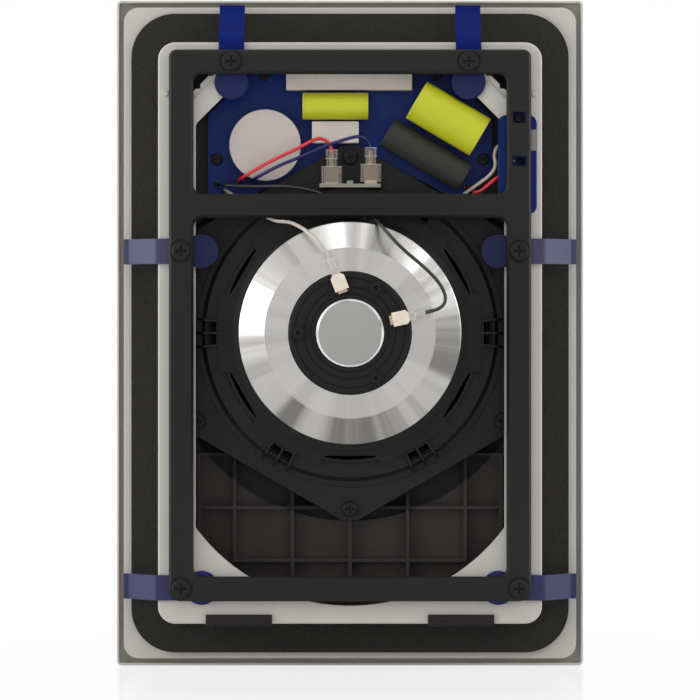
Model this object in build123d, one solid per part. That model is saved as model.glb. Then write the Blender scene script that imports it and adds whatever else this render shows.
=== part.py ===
from build123d import *
import os
from math import cos, pi, radians, sin, sqrt, tan

# In-wall loudspeaker with a coaxial driver, built from behind.
# Pieces are drawn as seen from behind: x to the right, y up, z rearward, in millimetres.
# z = 0 is the flange face that meets the wall, and the driver's axis is x = y = 0.
# REAR_VIEW turns the finished pieces: +Y rearward, +Z up, +X to the left as seen from behind.
REAR_VIEW = Plane(origin=(0, 0, 0), x_dir=(-1, 0, 0), z_dir=(0, 1, 0))

# Grille tray
GRILLE_WIDTH = 242.0
GRILLE_HEIGHT = 345.0
GRILLE_SHEET = 1.2
GRILLE_CORNER = 2.4
GRILLE_FRONT = -9.0
GRILLE_LIP_END = -0.4
GRILLE_PLAIN_EDGE = 9.0
GRILLE_HOLE_RADIUS = 5.5
GRILLE_HOLES_ACROSS = 13
GRILLE_HOLES_HIGH = 21
GROOVE = 2.4

# Bezel: flange, skirt and the tub that passes through the wall
FLANGE_THICKNESS = 2.6
FLANGE_CORNER = 7.8
SKIRT_THICKNESS = 1.8
SKIRT_TO_GRILLE = 0.3
TUB_WIDTH = 197.0
TUB_HEIGHT = 298.4
TUB_CORNER = 8.8
TUB_WALL = 2.4
TUB_DEPTH = 23.0
PANEL_THICKNESS = 2.4
PANEL_EDGE_ROUND = 0.9

# Arched opening in the tub's rear panel
ARCH_HALF_WIDTH = 79.2
ARCH_RADIUS = 98.4
ARCH_CENTRE_Y = -41.5
ARCH_TOP = 134.0
ARCH_CHAMFER = 26.8
ARCH_CORNER = 4.0

# Corner windows outside the diagonal braces
BRACE_WIDTH = 12.8
BRACE_RIDGE_OFFSET = 9.2
BRACE_RIDGE_WIDTH = 0.9
BRACE_RIDGE_HEIGHT = 0.7
BRACE_RIDGE_LENGTH = 14.6
BRACE_RIDGE_X = 75.6
WINDOW_SIDE = 88.0
WINDOW_TOP = 136.5
WINDOW_NOTCH = 2.3
WINDOW_NOTCHES = 3

# Locating pegs on the panel
PEG_X = 94.6
PEG_Y = 122.8
PEG_RADIUS = 1.3
PEG_HEIGHT = 1.2

# Foam gasket
GASKET_WIDTH = 226.6
GASKET_HEIGHT = 331.0
GASKET_CORNER = 22.8
GASKET_THICKNESS = 3.0
GASKET_TO_TUB = 1.2

# Grille magnets, in bosses on the front of the flange
MAGNET_RADIUS = 4.0
MAGNET_THICKNESS = 2.5
MAGNET_BOSS_WALL = 1.3
MAGNET_INSET_X = 9.5
MAGNET_INSET_Y = 10.0
MAGNET_CLEARANCE = 0.1

# Retaining fingers under the clamp frame
FINGER_THICKNESS = 1.5
FINGER_WIDTH = 13.0
FINGER_DISC_RADIUS = 8.7
FINGER_DISC_REACH = 10.4
FINGER_LEVEL_REACH = 13.0
FINGER_TIP_REACH = 30.4
FINGER_TIP_LENGTH = 3.0
FINGER_TIP_Z = 8.0
FINGER_BEND = 2.5

# Clamp frame
CLAMP_HALF_WIDTH = 92.7
CLAMP_TOP = 145.1
CLAMP_BOTTOM = -137.3
CLAMP_BAR = 12.5
CLAMP_CROSSBAR_TOP = 71.3
CLAMP_CROSSBAR = 12.3
CLAMP_THICKNESS = 4.5
CLAMP_BEVEL = 1.2
CLAMP_TOP_CORNER = 4.0
CLAMP_BOTTOM_CORNER = 6.2
CLAMP_INNER_CORNER = 4.6
CLAMP_RING_RADIUS = 5.9
CLAMP_RING_DEPTH = 0.5

# Screws: shank radius, head radius, head height
CLAMP_SCREW = (2.0, 4.9, 1.9)
CLAMP_SCREW_TOP_X = 60.8
CLAMP_SCREW_TOP_Y = 138.9
CLAMP_SCREW_MIDDLE_Y = 41.9
CLAMP_SCREW_LOW_Y = -130.7
CLAMP_SCREW_DEPTH = 11.0
DRIVER_SCREW = (1.9, 4.15, 2.6)
DRIVER_SCREW_CIRCLE = 90.7
DRIVER_SCREW_DEPTH = 6.0
BAFFLE_SCREW = (1.5, 2.9, 1.6)
BAFFLE_SCREW_BITE = 1.8
BOARD_SCREW = (1.3, 3.1, 1.8)
BOARD_SCREW_BITE = 2.6
COVER_SCREW = (1.4, 2.5, 2.4)
COVER_SCREW_BITE = 5.0
BLOCK_SCREW = (1.3, 2.4, 1.4)
BLOCK_SCREW_DEPTH = 6.0
SCREW_CLEARANCE = 0.1
SCREW_BOSS_WALL = 2.4
CROSS_WIDTH = 0.9
CROSS_DEPTH = 1.1

# Baffle
BAFFLE_GAP = 0.3
BAFFLE_PLATE = 2.5
BAFFLE_PLATE_FRONT = 1.0
RECESS_RADIUS = 97.2
RECESS_FLOOR = 0.0
DRIVER_HOLE_RADIUS = 74.3
PERIMETER_WALL = 2.0
RIB_THICKNESS = 1.8
RIB_TOP = 8.0
RIB_PITCH_X = 29.8
RIB_SHORT_X = 78.1
RIB_FIRST_Y = -62.9
RIB_PITCH_Y = 27.3
SEAT_INNER_RADIUS = 76.0
SEAT_WALL = 4.0
DRIVER_GASKET = 0.6
POST_WALL = 1.6

# Driver basket
FLANGE_SEAT = 9.0
BASKET_FLANGE = 3.6
BASKET_FLAT = 85.6
BASKET_TIP_RADIUS = 96.6
BASKET_STEP_RADIUS = 79.2
BASKET_STEP = 1.0
BASKET_FOOT_RADIUS = 76.4
RING_OUTER_RADIUS = 74.4
RING_INNER_RADIUS = 67.2
RING_Z = 17.5
PLATEAU_Z = 19.0
PLATEAU_RADIUS = 66.8
PLATEAU_TAB_FLAT = 67.4
PLATEAU_TAB_LENGTH = 40.0
PLATEAU_TAB_ROOT = 60.0
CHAMFER_FOOT_RADIUS = 60.5
CHAMFER_TOP_RADIUS = 57.4
BASKET_REAR = 21.0
BASKET_SKIN = 2.2
SPIDER_WELL_RADIUS = 44.0
SPIDER_WELL_FLOOR = 18.0
BASKET_BORE = 22.0
LIP_Z = 5.6
LIP_THICKNESS = 1.4
LIP_RADIUS = 73.4
LIP_INNER_RADIUS = 70.6
BASKET_RIB_WIDTH = 1.15
BASKET_RIB_SPREAD = 5.2
BASKET_RIB_KNEE = 75.5
POCKET_INNER = 69.0
POCKET_OUTER = 73.4
VENT_FLAT = 63.1
VENT_RADIUS = 65.1
VENT_HALF_LENGTH = 13.2
BASKET_PEG_AT = (50.0, -59.8)
BASKET_PEG = (1.3, 1.0)

# Motor
TOP_PLATE_RADIUS = 52.0
TOP_PLATE_THICKNESS = 6.0
FERRITE_RADIUS = 54.0
FERRITE_BORE = 24.0
FERRITE_THICKNESS = 22.0
YOKE_RADIUS = 50.0
YOKE_THICKNESS = 6.0
POLE_RADIUS = 15.4
POLE_BORE = 9.0
THROAT_RADIUS = 11.8
THROAT_DEPTH = 5.0
THROAT_TAPER = 5.0
COIL_GAP = 0.5
FORMER_WALL = 0.3
WINDING_WALL = 0.8
WINDING_LENGTH = 10.0
FORMER_FRONT = 13.5
FORMER_REAR = 31.5

# Machined rear cap
CAP_RADIUS = 56.2
CAP_HEIGHT = 15.0
CAP_BEVEL_HEIGHT = 7.5
CAP_FLAT_RADIUS = 43.0
CAP_FIT = 0.2

# Tweeter
COVER_RADIUS = 30.5
COVER_THICKNESS = 3.7
COVER_SINK = 2.0
COVER_GROOVES = (27.6, 23.0, 19.6)
COVER_GROOVE_WIDTH = 0.7
COVER_GROOVE_DEPTH = 0.5
COVER_SCREW_CIRCLE = 25.9
COVER_BOSS_RADIUS = 3.8
COVER_BOSS_HEIGHT = 0.6
POT_RADIUS = 17.1
POT_PROUD = 1.5
POT_CHAMFER = 1.3
POT_CLEARANCE = 0.2
DOME_RADIUS = 11.0
DOME_HEIGHT = 3.4
DOME_SKIN = 0.4
DOME_RIM_RADIUS = 13.2
HORN_WALL = 1.3
HORN_BORE = 7.4
HORN_TAIL = 8.0
HORN_MOUTH_RADIUS = 23.0
HORN_MOUTH_Z = 4.6
HORN_FOOT_RADIUS = 13.4

# Moving system
CONE_NECK_Z = 14.2
CONE_RIM_RADIUS = 62.0
CONE_RIM_Z = 5.5
CONE_SKIN = 0.5
CONE_RIM_LAND = 1.6
CONE_COLLAR = 0.7
CONE_COLLAR_HEIGHT = 1.6
ROLL_RADIUS = 3.5
ROLL_SKIN = 0.5
ROLL_LAND = 2.6
SPIDER_SKIN = 0.5
SPIDER_WAVE = 0.6
SPIDER_WAVES = 5
SPIDER_LAND = 3.0
SPIDER_NECK_Z = 16.3

# Crossover board
BOARD_FRONT = 5.2
BOARD_THICKNESS = 1.6
BOARD_HALF_WIDTH = 73.6
BOARD_TOP = 139.0
BOARD_CHAMFER_SUM = 186.0
BOARD_LEFT_BOTTOM = 66.0
BOARD_RIGHT_BOTTOM = 83.0
BOARD_CUT_X = 50.0
BOARD_CUT_Y = 62.4
BOARD_ARC_RADIUS = 86.6
BOARD_BOSS_CLEARANCE = 2.0
BOARD_SCREW_SIDE = (68.9, 89.8)
BOARD_SCREW_TOP = (44.2, 133.4)

# Parts on the board
COIL_CENTRE = (-43.7, 96.7)
COIL_RADIUS = 18.4
COIL_HEIGHT = 10.2
COIL_FLANGE = 1.4
COIL_WIRE_RADIUS = 17.2
COIL_CORE_RADIUS = 7.0
LONG_BLOCK = (65.0, 10.0, 8.2)
LONG_BLOCK_CENTRE = (-0.4, 130.2)
SHORT_BLOCK = (24.2, 11.2, 8.2)
SHORT_BLOCK_CENTRE = (-7.5, 103.5)
SMALL_CAPACITOR = (7.0, 33.9)
SMALL_CAPACITOR_CENTRE = (-7.5, 116.9)
LARGE_CAPACITOR = (11.0, 38.1)
LARGE_CAPACITOR_CENTRE = (50.6, 110.3)
BLACK_CAPACITOR = (8.0, 46.7)
BLACK_CAPACITOR_CENTRE = (39.3, 91.6)
CAPACITOR_TILT = -30.5
CAPACITOR_LIFT = 0.3
LEG_RADIUS = 0.5

# Terminal block
BLOCK_WIDTH = 19.9
BLOCK_HEIGHT = 50.7
BLOCK_CENTRE = (85.85, 86.4)
BLOCK_CORNER = 4.2
BLOCK_EAR = 4.2
BLOCK_FLANGE = 1.2
BLOCK_EDGE = 0.4
BLOCK_BODY_WIDTH = 13.0
BLOCK_BODY_HEIGHT = 41.0
BLOCK_BODY_CENTRE = (86.5, 86.4)
BLOCK_BODY_FRONT = 9.0
BLOCK_BODY_CLEARANCE = 0.3
BLOCK_SCREW_AT = (86.5, 110.3)
CABLE_ENTRY_AT = (87.3, 88.0)
CABLE_ENTRY_RADIUS = 2.1
CABLE_ENTRY_DEPTH = 9.0
SCREW_WINDOW = (6.7, 5.6)
CABLE_WINDOW = (7.1, 5.1)
CABLE_WINDOW_AT = (86.7, 88.0)
WINDOW_CORNER = 0.6
INSERT = (6.2, 10.8, 0.6)
INSERT_CENTRE = (92.5, 98.9)
CONTACT_RADIUS = 0.7
CONTACT_AT = (84.2, 88.3)

# Edge pads on the panel
PAD_WIDTH = 33.9
PAD_HEIGHT = 5.9
PAD_OVERHANG = 1.2
PAD_THICKNESS = 1.5
PAD_X = 57.0

# Woofer terminal strip and its push-on connectors
STRIP_WIDTH = 31.4
STRIP_THICKNESS = 1.9
STRIP_HEIGHT = 7.4
STRIP_NUB = 1.6
STRIP_Y = 74.8
STRIP_FIT = 0.15
TAB_WIDTH = 6.3
TAB_THICKNESS = 0.8
TAB_LENGTH = 7.8
TAB_Z = 18.0
SLEEVE_RED_AT = (-9.45, 76.8)
SLEEVE_BLUE_AT = (10.7, 78.0)
SLEEVE_BODY = (11.0, 8.8, 5.6)
SLEEVE_NECK = (6.0, 4.1, 4.6)
SLEEVE_COLLAR = (6.6, 4.5, 5.2)
SLEEVE_SKIN = 0.7
RECEPTACLE = (7.6, 7.4, 2.6)
RECEPTACLE_SETBACK = 0.8
BARREL_WALL = 0.6
BARREL_LENGTH = 7.6
BARREL_BORE = 1.5
BARREL_FIT = 0.1

# Tweeter push-on connectors: tip point and direction of each
TWEETER_TAB = (4.8, 0.8, 7.0)
TWEETER_TAB_Z = 69.2
WHITE_CONNECTOR_TIP = (-3.1, 19.6)
WHITE_CONNECTOR_ANGLE = 111.5
BLACK_CONNECTOR_TIP = (19.4, 6.1)
BLACK_CONNECTOR_ANGLE = 12.5
CONNECTOR_START = 2.0
CONNECTOR_HOOD = (7.2, 8.6, 3.6)
CONNECTOR_SHOULDER = 1.6
CONNECTOR_NECK = (4.6, 3.0, 3.0)
CONNECTOR_BARREL = (1.9, 5.2)
CONNECTOR_BORE_DEPTH = 4.9
CONNECTOR_LEAD_RUN = 6.4

# Leads
LEAD_RADIUS = 0.9
ARC_SHARE = 0.45

# Planes that several pieces share
BEZEL_WIDTH = GRILLE_WIDTH - 2 * (GRILLE_SHEET + GROOVE)
BEZEL_HEIGHT = GRILLE_HEIGHT - 2 * (GRILLE_SHEET + GROOVE)
GRILLE_BACK = GRILLE_FRONT + GRILLE_SHEET
PANEL_FRONT = TUB_DEPTH - PANEL_THICKNESS
CLAMP_FRONT = TUB_DEPTH + FINGER_THICKNESS
CLAMP_REAR = CLAMP_FRONT + CLAMP_THICKNESS
PLATE_REAR = BAFFLE_PLATE_FRONT + BAFFLE_PLATE
SEAT_REAR = FLANGE_SEAT - DRIVER_GASKET
FLANGE_REAR = FLANGE_SEAT + BASKET_FLANGE
STEP_REAR = FLANGE_REAR + BASKET_STEP
BASKET_INSIDE = RING_Z - BASKET_SKIN
TOP_PLATE_REAR = BASKET_REAR + TOP_PLATE_THICKNESS
FERRITE_REAR = TOP_PLATE_REAR + FERRITE_THICKNESS
YOKE_REAR = FERRITE_REAR + YOKE_THICKNESS
CAP_REAR = FERRITE_REAR + CAP_HEIGHT
COVER_FRONT = CAP_REAR - COVER_SINK
COVER_REAR = COVER_FRONT + COVER_THICKNESS
POT_REAR = COVER_REAR + POT_PROUD
FORMER_INNER = POLE_RADIUS + COIL_GAP
FORMER_OUTER = FORMER_INNER + FORMER_WALL
WINDING_RADIUS = FORMER_OUTER + WINDING_WALL
BOARD_REAR = BOARD_FRONT + BOARD_THICKNESS
BLOCK_REAR = TUB_DEPTH + BLOCK_FLANGE

# Lead routes, point by point, as seen from behind
RED_ROUTE = [
    (-57.6, 78.6, BOARD_REAR), (-57.6, 78.6, 20.0), (-43.0, 87.0, 22.6), (-34.0, 91.4, 22.4),
    (-25.4, 95.4, 21.2), (-17.15, 100.3, 19.6), (-12.5, 99.5, 18.6), (-9.45, 95.87, 18.0),
    (-9.45, 91.1, 18.0),
]
BLUE_ROUTE = [
    (-51.5, 78.0, BOARD_REAR), (-51.5, 78.0, 19.6), (-38.0, 85.2, 24.6), (-25.5, 90.2, 25.0),
    (-12.5, 96.0, 24.8), (-4.6, 98.6, 24.2), (3.8, 101.25, 22.0), (8.04, 100.1, 19.8),
    (10.7, 96.6, 18.0), (10.7, 92.3, 18.0),
]
BLACK_ROUTE = [
    (-68.8, 77.0, BOARD_REAR), (-68.8, 77.0, 14.5), (-60.0, 75.4, 20.0), (-46.0, 75.1, 21.4),
    (-31.0, 75.4, 21.6), (-16.5, 72.6, 21.5), (-4.0, 66.2, 21.4), (7.6, 58.9, 21.6),
    (12.4, 56.2, 30.0), (12.6, 56.9, 44.0), (13.4, 56.8, 58.0), (17.5, 51.6, 67.0),
    (26.5, 41.8, 69.6), (37.8, 32.6, 69.9), (45.6, 24.4, 69.8), (48.4, 17.4, 69.6),
    (46.2, 12.6, 69.3),
]
WHITE_ROUTE = [
    (-64.6, 73.6, BOARD_REAR), (-64.6, 73.6, 14.0), (-57.0, 69.2, 20.2), (-47.4, 62.8, 21.6),
    (-39.0, 57.2, 24.0), (-31.5, 56.6, 40.0), (-27.0, 54.6, 55.0), (-21.0, 50.8, 66.0),
    (-14.6, 44.8, 69.5),
]
WHITE_INPUT_ROUTE = [
    (57.8, 70.8, BOARD_REAR), (57.8, 70.8, 15.4), (64.8, 75.8, 18.6), (72.0, 80.9, 18.7),
    (75.3, 86.0, 18.4), (73.9, 91.6, 18.2), (75.6, 96.4, 18.0), (79.5, 98.4, 18.0),
]
RED_INPUT_ROUTE = [
    (61.0, 75.4, BOARD_REAR), (61.0, 75.4, 12.4), (63.6, 72.2, 16.2), (67.0, 72.6, 20.2),
    (71.2, 76.2, 21.4), (75.4, 80.0, 20.2), (79.5, 81.4, 17.6),
]


def slab(outline, start, end):
    """Extrude an outline from one depth to another."""
    return extrude(Pos(0, 0, start) * outline, end - start)


def inset_frame(width, height, radius, wall):
    """Rounded rectangular ring, wall wide, inside the given outline."""
    outer = RectangleRounded(width, height, radius)
    inner_radius = max(radius - wall, 0.3)
    return outer - RectangleRounded(width - 2 * wall, height - 2 * wall, inner_radius)


def ring(outer, inner):
    """Flat ring between two radii."""
    return Circle(outer) - Circle(inner)


def turned(points):
    """Turn a closed outline of (radius, depth) points about the driver's axis."""
    outline = make_face(Polyline([(r, 0, z) for r, z in points], close=True))
    return revolve(outline, Axis.Z, 360)


def both_sides(x, y):
    """The same height on the left and the right."""
    return [(-x, y), (x, y)]


def four_corners(x, y):
    """Four points mirrored about both centre lines."""
    return both_sides(x, y) + both_sides(x, -y)


def group(solids):
    """Separate solids that share one node."""
    return Compound(children=list(solids))


def clamp_screw_points():
    """Clamp screws, with the outward direction of each in degrees."""
    side_x = CLAMP_HALF_WIDTH - CLAMP_BAR / 2
    return {
        "top_left": (-CLAMP_SCREW_TOP_X, CLAMP_SCREW_TOP_Y, 90),
        "top_right": (CLAMP_SCREW_TOP_X, CLAMP_SCREW_TOP_Y, 90),
        "middle_left": (-side_x, CLAMP_SCREW_MIDDLE_Y, 180),
        "middle_right": (side_x, CLAMP_SCREW_MIDDLE_Y, 0),
        "low_left": (-side_x, CLAMP_SCREW_LOW_Y, 180),
        "low_right": (side_x, CLAMP_SCREW_LOW_Y, 0),
    }


def baffle_screw_points():
    """Front screws that hold the baffle to the panel."""
    side = TUB_WIDTH / 2 - 9.0
    top = TUB_HEIGHT / 2 - 7.7
    return (
        both_sides(72.0, top)
        + both_sides(side, -50.0)
        + both_sides(side, -105.0)
        + both_sides(40.0, 0.6 - top)
    )


def board_screw_points():
    """Screws that hold the crossover board."""
    return both_sides(*BOARD_SCREW_SIDE) + both_sides(*BOARD_SCREW_TOP)


def polar_points(radius, first, count):
    """Points round the driver's axis, first angle in degrees."""
    angles = [radians(first + 360 / count * i) for i in range(count)]
    return [(radius * cos(a), radius * sin(a)) for a in angles]


def pan_screw(size, seat, depth, cross=True):
    """Pan-head screw whose head bears on seat and whose shank runs forward."""
    shank, head, height = size
    body = slab(Circle(shank), seat - depth, seat)
    cap = slab(Circle(head), seat, seat + height)
    cap = fillet(cap.edges().group_by(Axis.Z)[-1], height * 0.6)
    if cross:
        slot = Rectangle(head * 1.1, CROSS_WIDTH) + Rectangle(CROSS_WIDTH, head * 1.1)
        cap -= slab(slot, seat + height - CROSS_DEPTH, seat + height + 1)
    return body + cap


def perforation_points():
    """Staggered rows of openings over the grille's front."""
    half_x = GRILLE_WIDTH / 2 - GRILLE_PLAIN_EDGE - GRILLE_HOLE_RADIUS
    half_y = GRILLE_HEIGHT / 2 - GRILLE_PLAIN_EDGE - GRILLE_HOLE_RADIUS
    pitch = 2 * half_x / (GRILLE_HOLES_ACROSS - 1)
    rise = 2 * half_y / (GRILLE_HOLES_HIGH - 1)
    points = []
    for row in range(GRILLE_HOLES_HIGH):
        count = GRILLE_HOLES_ACROSS - row % 2
        first = -pitch * (count - 1) / 2
        points += [(first + pitch * i, rise * row - half_y) for i in range(count)]
    return points


def grille():
    """Folded tray that covers the front, perforated in staggered rows."""
    outer = RectangleRounded(GRILLE_WIDTH, GRILLE_HEIGHT, GRILLE_CORNER)
    inner = RectangleRounded(
        GRILLE_WIDTH - 2 * GRILLE_SHEET, GRILLE_HEIGHT - 2 * GRILLE_SHEET, GRILLE_CORNER - GRILLE_SHEET
    )
    tray = slab(outer, GRILLE_FRONT, GRILLE_LIP_END)
    tray = fillet(tray.edges().group_by(Axis.Z)[0], GRILLE_SHEET)
    tray -= slab(inner, GRILLE_BACK, GRILLE_LIP_END + 1)
    hole = slab(Circle(GRILLE_HOLE_RADIUS), GRILLE_FRONT - 1, GRILLE_BACK + 1)
    return tray - [Pos(x, y) * hole for x, y in perforation_points()]


def arch_opening():
    """Arched opening of the panel, chamfered at the top."""
    foot = ARCH_CENTRE_Y - sqrt(ARCH_RADIUS**2 - ARCH_HALF_WIDTH**2)
    shoulder = ARCH_TOP - ARCH_CHAMFER
    flat = ARCH_HALF_WIDTH - ARCH_CHAMFER
    sides = Polyline(
        (-ARCH_HALF_WIDTH, foot), (-ARCH_HALF_WIDTH, shoulder), (-flat, ARCH_TOP),
        (flat, ARCH_TOP), (ARCH_HALF_WIDTH, shoulder), (ARCH_HALF_WIDTH, foot),
    )
    arc = ThreePointArc((ARCH_HALF_WIDTH, foot), (0, ARCH_CENTRE_Y - ARCH_RADIUS), (-ARCH_HALF_WIDTH, foot))
    outline = make_face(sides + arc)
    shoulders = [v for v in outline.vertices() if abs(v.Y - shoulder) < 0.01]
    return fillet(shoulders, ARCH_CORNER)


def brace_sum():
    """x + y on the diagonal edge of the arched opening."""
    return ARCH_HALF_WIDTH + ARCH_TOP - ARCH_CHAMFER


def corner_window(side):
    """Three-cornered window outside a brace, its long edge stepped."""
    edge = brace_sum() + BRACE_WIDTH * sqrt(2)
    low, left = edge - WINDOW_SIDE, edge - WINDOW_TOP
    outline = make_face(
        Polyline((WINDOW_SIDE, low), (WINDOW_SIDE, WINDOW_TOP), (left, WINDOW_TOP), close=True)
    )
    pitch = (WINDOW_SIDE - left) / WINDOW_NOTCHES
    for i in range(WINDOW_NOTCHES):
        x = left + pitch * (i + 0.5)
        outline += Pos(x, edge - x) * Rectangle(WINDOW_NOTCH, WINDOW_NOTCH)
    return outline if side > 0 else mirror(outline, Plane.YZ)


def brace_ridge(side):
    """Low ridge along a diagonal brace."""
    ridge_y = brace_sum() + BRACE_RIDGE_OFFSET * sqrt(2) - BRACE_RIDGE_X
    line = Pos(BRACE_RIDGE_X, ridge_y) * Rot(0, 0, -45) * Rectangle(BRACE_RIDGE_LENGTH, BRACE_RIDGE_WIDTH)
    line = line if side > 0 else mirror(line, Plane.YZ)
    return slab(line, TUB_DEPTH, TUB_DEPTH + BRACE_RIDGE_HEIGHT)


def magnet_points():
    """Grille magnets along the flange."""
    x = BEZEL_WIDTH / 2 - MAGNET_INSET_X
    y = BEZEL_HEIGHT / 2 - MAGNET_INSET_Y
    return four_corners(x, y) + four_corners(x, y / 3)


def bezel():
    """Wall flange, front skirt, and the tub with its rear panel, moulded in one."""
    flange_outline = RectangleRounded(BEZEL_WIDTH, BEZEL_HEIGHT, FLANGE_CORNER)
    tub_outline = RectangleRounded(TUB_WIDTH, TUB_HEIGHT, TUB_CORNER)
    tub_ring = inset_frame(TUB_WIDTH, TUB_HEIGHT, TUB_CORNER, TUB_WALL)
    skirt_front = GRILLE_BACK + SKIRT_TO_GRILLE

    body = slab(tub_outline, 0, TUB_DEPTH)
    body = fillet(body.edges().group_by(Axis.Z)[-1], PANEL_EDGE_ROUND)
    body -= slab(tub_outline - tub_ring, -1, PANEL_FRONT)
    body += slab(flange_outline - (tub_outline - tub_ring), -FLANGE_THICKNESS, 0)
    body += slab(inset_frame(BEZEL_WIDTH, BEZEL_HEIGHT, FLANGE_CORNER, SKIRT_THICKNESS), skirt_front, 0)
    body -= slab(arch_opening(), PANEL_FRONT - 1, TUB_DEPTH + 1)

    boss = MAGNET_RADIUS + MAGNET_BOSS_WALL
    for x, y in magnet_points():
        body += slab(Pos(x, y) * Circle(boss), GRILLE_BACK, -FLANGE_THICKNESS / 2)
        pocket = Pos(x, y) * Circle(MAGNET_RADIUS + MAGNET_CLEARANCE)
        body -= slab(pocket, GRILLE_BACK - 1, GRILLE_BACK + MAGNET_THICKNESS)

    for side in (-1, 1):
        body -= slab(corner_window(side), PANEL_FRONT - 1, TUB_DEPTH + 1)
        body += brace_ridge(side)
    for x, y in both_sides(PEG_X, PEG_Y):
        body += slab(Pos(x, y) * Circle(PEG_RADIUS), TUB_DEPTH, TUB_DEPTH + PEG_HEIGHT)

    screw = CLAMP_SCREW[0]
    for x, y, _ in clamp_screw_points().values():
        body += slab(Pos(x, y) * Circle(screw + SCREW_BOSS_WALL), CLAMP_FRONT - CLAMP_SCREW_DEPTH, PANEL_FRONT)
        hole = Pos(x, y) * Circle(screw + SCREW_CLEARANCE)
        body -= slab(hole, CLAMP_FRONT - CLAMP_SCREW_DEPTH - 1, TUB_DEPTH + 1)
    for x, y in baffle_screw_points():
        hole = Pos(x, y) * Circle(BAFFLE_SCREW[0] + SCREW_CLEARANCE)
        body -= slab(hole, PANEL_FRONT - 1, PANEL_FRONT + BAFFLE_SCREW_BITE + 0.2)

    cut = Pos(*BLOCK_BODY_CENTRE) * Rectangle(
        BLOCK_BODY_WIDTH + 2 * BLOCK_BODY_CLEARANCE, BLOCK_BODY_HEIGHT + 2 * BLOCK_BODY_CLEARANCE
    )
    cut += Pos(*BLOCK_SCREW_AT) * Circle(BLOCK_SCREW[0] + SCREW_CLEARANCE)
    return body - slab(cut, PANEL_FRONT - 1, TUB_DEPTH + 1)


def gasket():
    """Foam ring that seals the flange to the wall."""
    gap = 2 * GASKET_TO_TUB
    hole = RectangleRounded(TUB_WIDTH + gap, TUB_HEIGHT + gap, TUB_CORNER + GASKET_TO_TUB)
    return slab(RectangleRounded(GASKET_WIDTH, GASKET_HEIGHT, GASKET_CORNER) - hole, 0, GASKET_THICKNESS)


def magnets():
    """Round magnets that hold the grille."""
    disc = Circle(MAGNET_RADIUS)
    return group(
        slab(Pos(x, y) * disc, GRILLE_BACK, GRILLE_BACK + MAGNET_THICKNESS) for x, y in magnet_points()
    )


def edge_pads():
    """Two thin pads that lap over the panel's lower edge."""
    y = -TUB_HEIGHT / 2 - PAD_OVERHANG + PAD_HEIGHT / 2
    pad = Rectangle(PAD_WIDTH, PAD_HEIGHT)
    return group(slab(Pos(x, y) * pad, TUB_DEPTH, TUB_DEPTH + PAD_THICKNESS) for x in (-PAD_X, PAD_X))


def finger(x, y, angle):
    """Retaining finger: a disc, a level strap under the clamp frame and a sloping tip."""
    level = TUB_DEPTH + FINGER_THICKNESS / 2
    tip = FINGER_TIP_Z + FINGER_THICKNESS / 2
    path = FilletPolyline(
        [
            (-FINGER_DISC_REACH, 0, level), (FINGER_LEVEL_REACH, 0, level),
            (FINGER_TIP_REACH - FINGER_TIP_LENGTH, 0, tip), (FINGER_TIP_REACH, 0, tip),
        ],
        radius=FINGER_BEND,
    )
    start = Plane(origin=(-FINGER_DISC_REACH, 0, level), x_dir=(0, 1, 0), z_dir=(1, 0, 0))
    strap = sweep(start * Rectangle(FINGER_WIDTH, FINGER_THICKNESS), path)
    disc = slab(Pos(-FINGER_DISC_REACH, 0) * Circle(FINGER_DISC_RADIUS), TUB_DEPTH, CLAMP_FRONT)
    hole = slab(Circle(CLAMP_SCREW[0] + SCREW_CLEARANCE), TUB_DEPTH - 1, CLAMP_FRONT + 1)
    return Pos(x, y) * Rot(0, 0, angle) * (strap + disc - hole)


def clamp_outline():
    """Outer edge of the clamp frame, its corners rounded in two sizes."""
    height = CLAMP_TOP - CLAMP_BOTTOM
    outline = Pos(0, (CLAMP_TOP + CLAMP_BOTTOM) / 2) * Rectangle(2 * CLAMP_HALF_WIDTH, height)
    outline = fillet(outline.vertices().group_by(Axis.Y)[-1], CLAMP_TOP_CORNER)
    low = [v for v in outline.vertices() if abs(v.Y - CLAMP_BOTTOM) < 0.01]
    return fillet(low, CLAMP_BOTTOM_CORNER)


def clamp_openings():
    """The two windows of the clamp frame."""
    width = 2 * (CLAMP_HALF_WIDTH - CLAMP_BAR)
    spans = [
        (CLAMP_CROSSBAR_TOP, CLAMP_TOP - CLAMP_BAR),
        (CLAMP_BOTTOM + CLAMP_BAR, CLAMP_CROSSBAR_TOP - CLAMP_CROSSBAR),
    ]
    return [
        Pos(0, (low + high) / 2) * RectangleRounded(width, high - low, CLAMP_INNER_CORNER)
        for low, high in spans
    ]


def clamp_frame():
    """Flat frame with two windows, bevelled towards the rear."""
    body = slab(clamp_outline(), CLAMP_FRONT, CLAMP_REAR)
    for opening in clamp_openings():
        body -= slab(opening, CLAMP_FRONT - 1, CLAMP_REAR + 1)
    body = chamfer(body.edges().group_by(Axis.Z)[-1], CLAMP_BEVEL)
    for x, y, _ in clamp_screw_points().values():
        body -= slab(Pos(x, y) * Circle(CLAMP_SCREW[0] + SCREW_CLEARANCE), CLAMP_FRONT - 1, CLAMP_REAR + 1)
        body -= slab(Pos(x, y) * Circle(CLAMP_RING_RADIUS), CLAMP_REAR - CLAMP_RING_DEPTH, CLAMP_REAR + 1)
    for size, centre in ((SCREW_WINDOW, BLOCK_SCREW_AT), (CABLE_WINDOW, CABLE_WINDOW_AT)):
        window = Pos(*centre) * RectangleRounded(*size, WINDOW_CORNER)
        body -= slab(window, CLAMP_FRONT - 1, CLAMP_REAR + 1)
    return body


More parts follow.
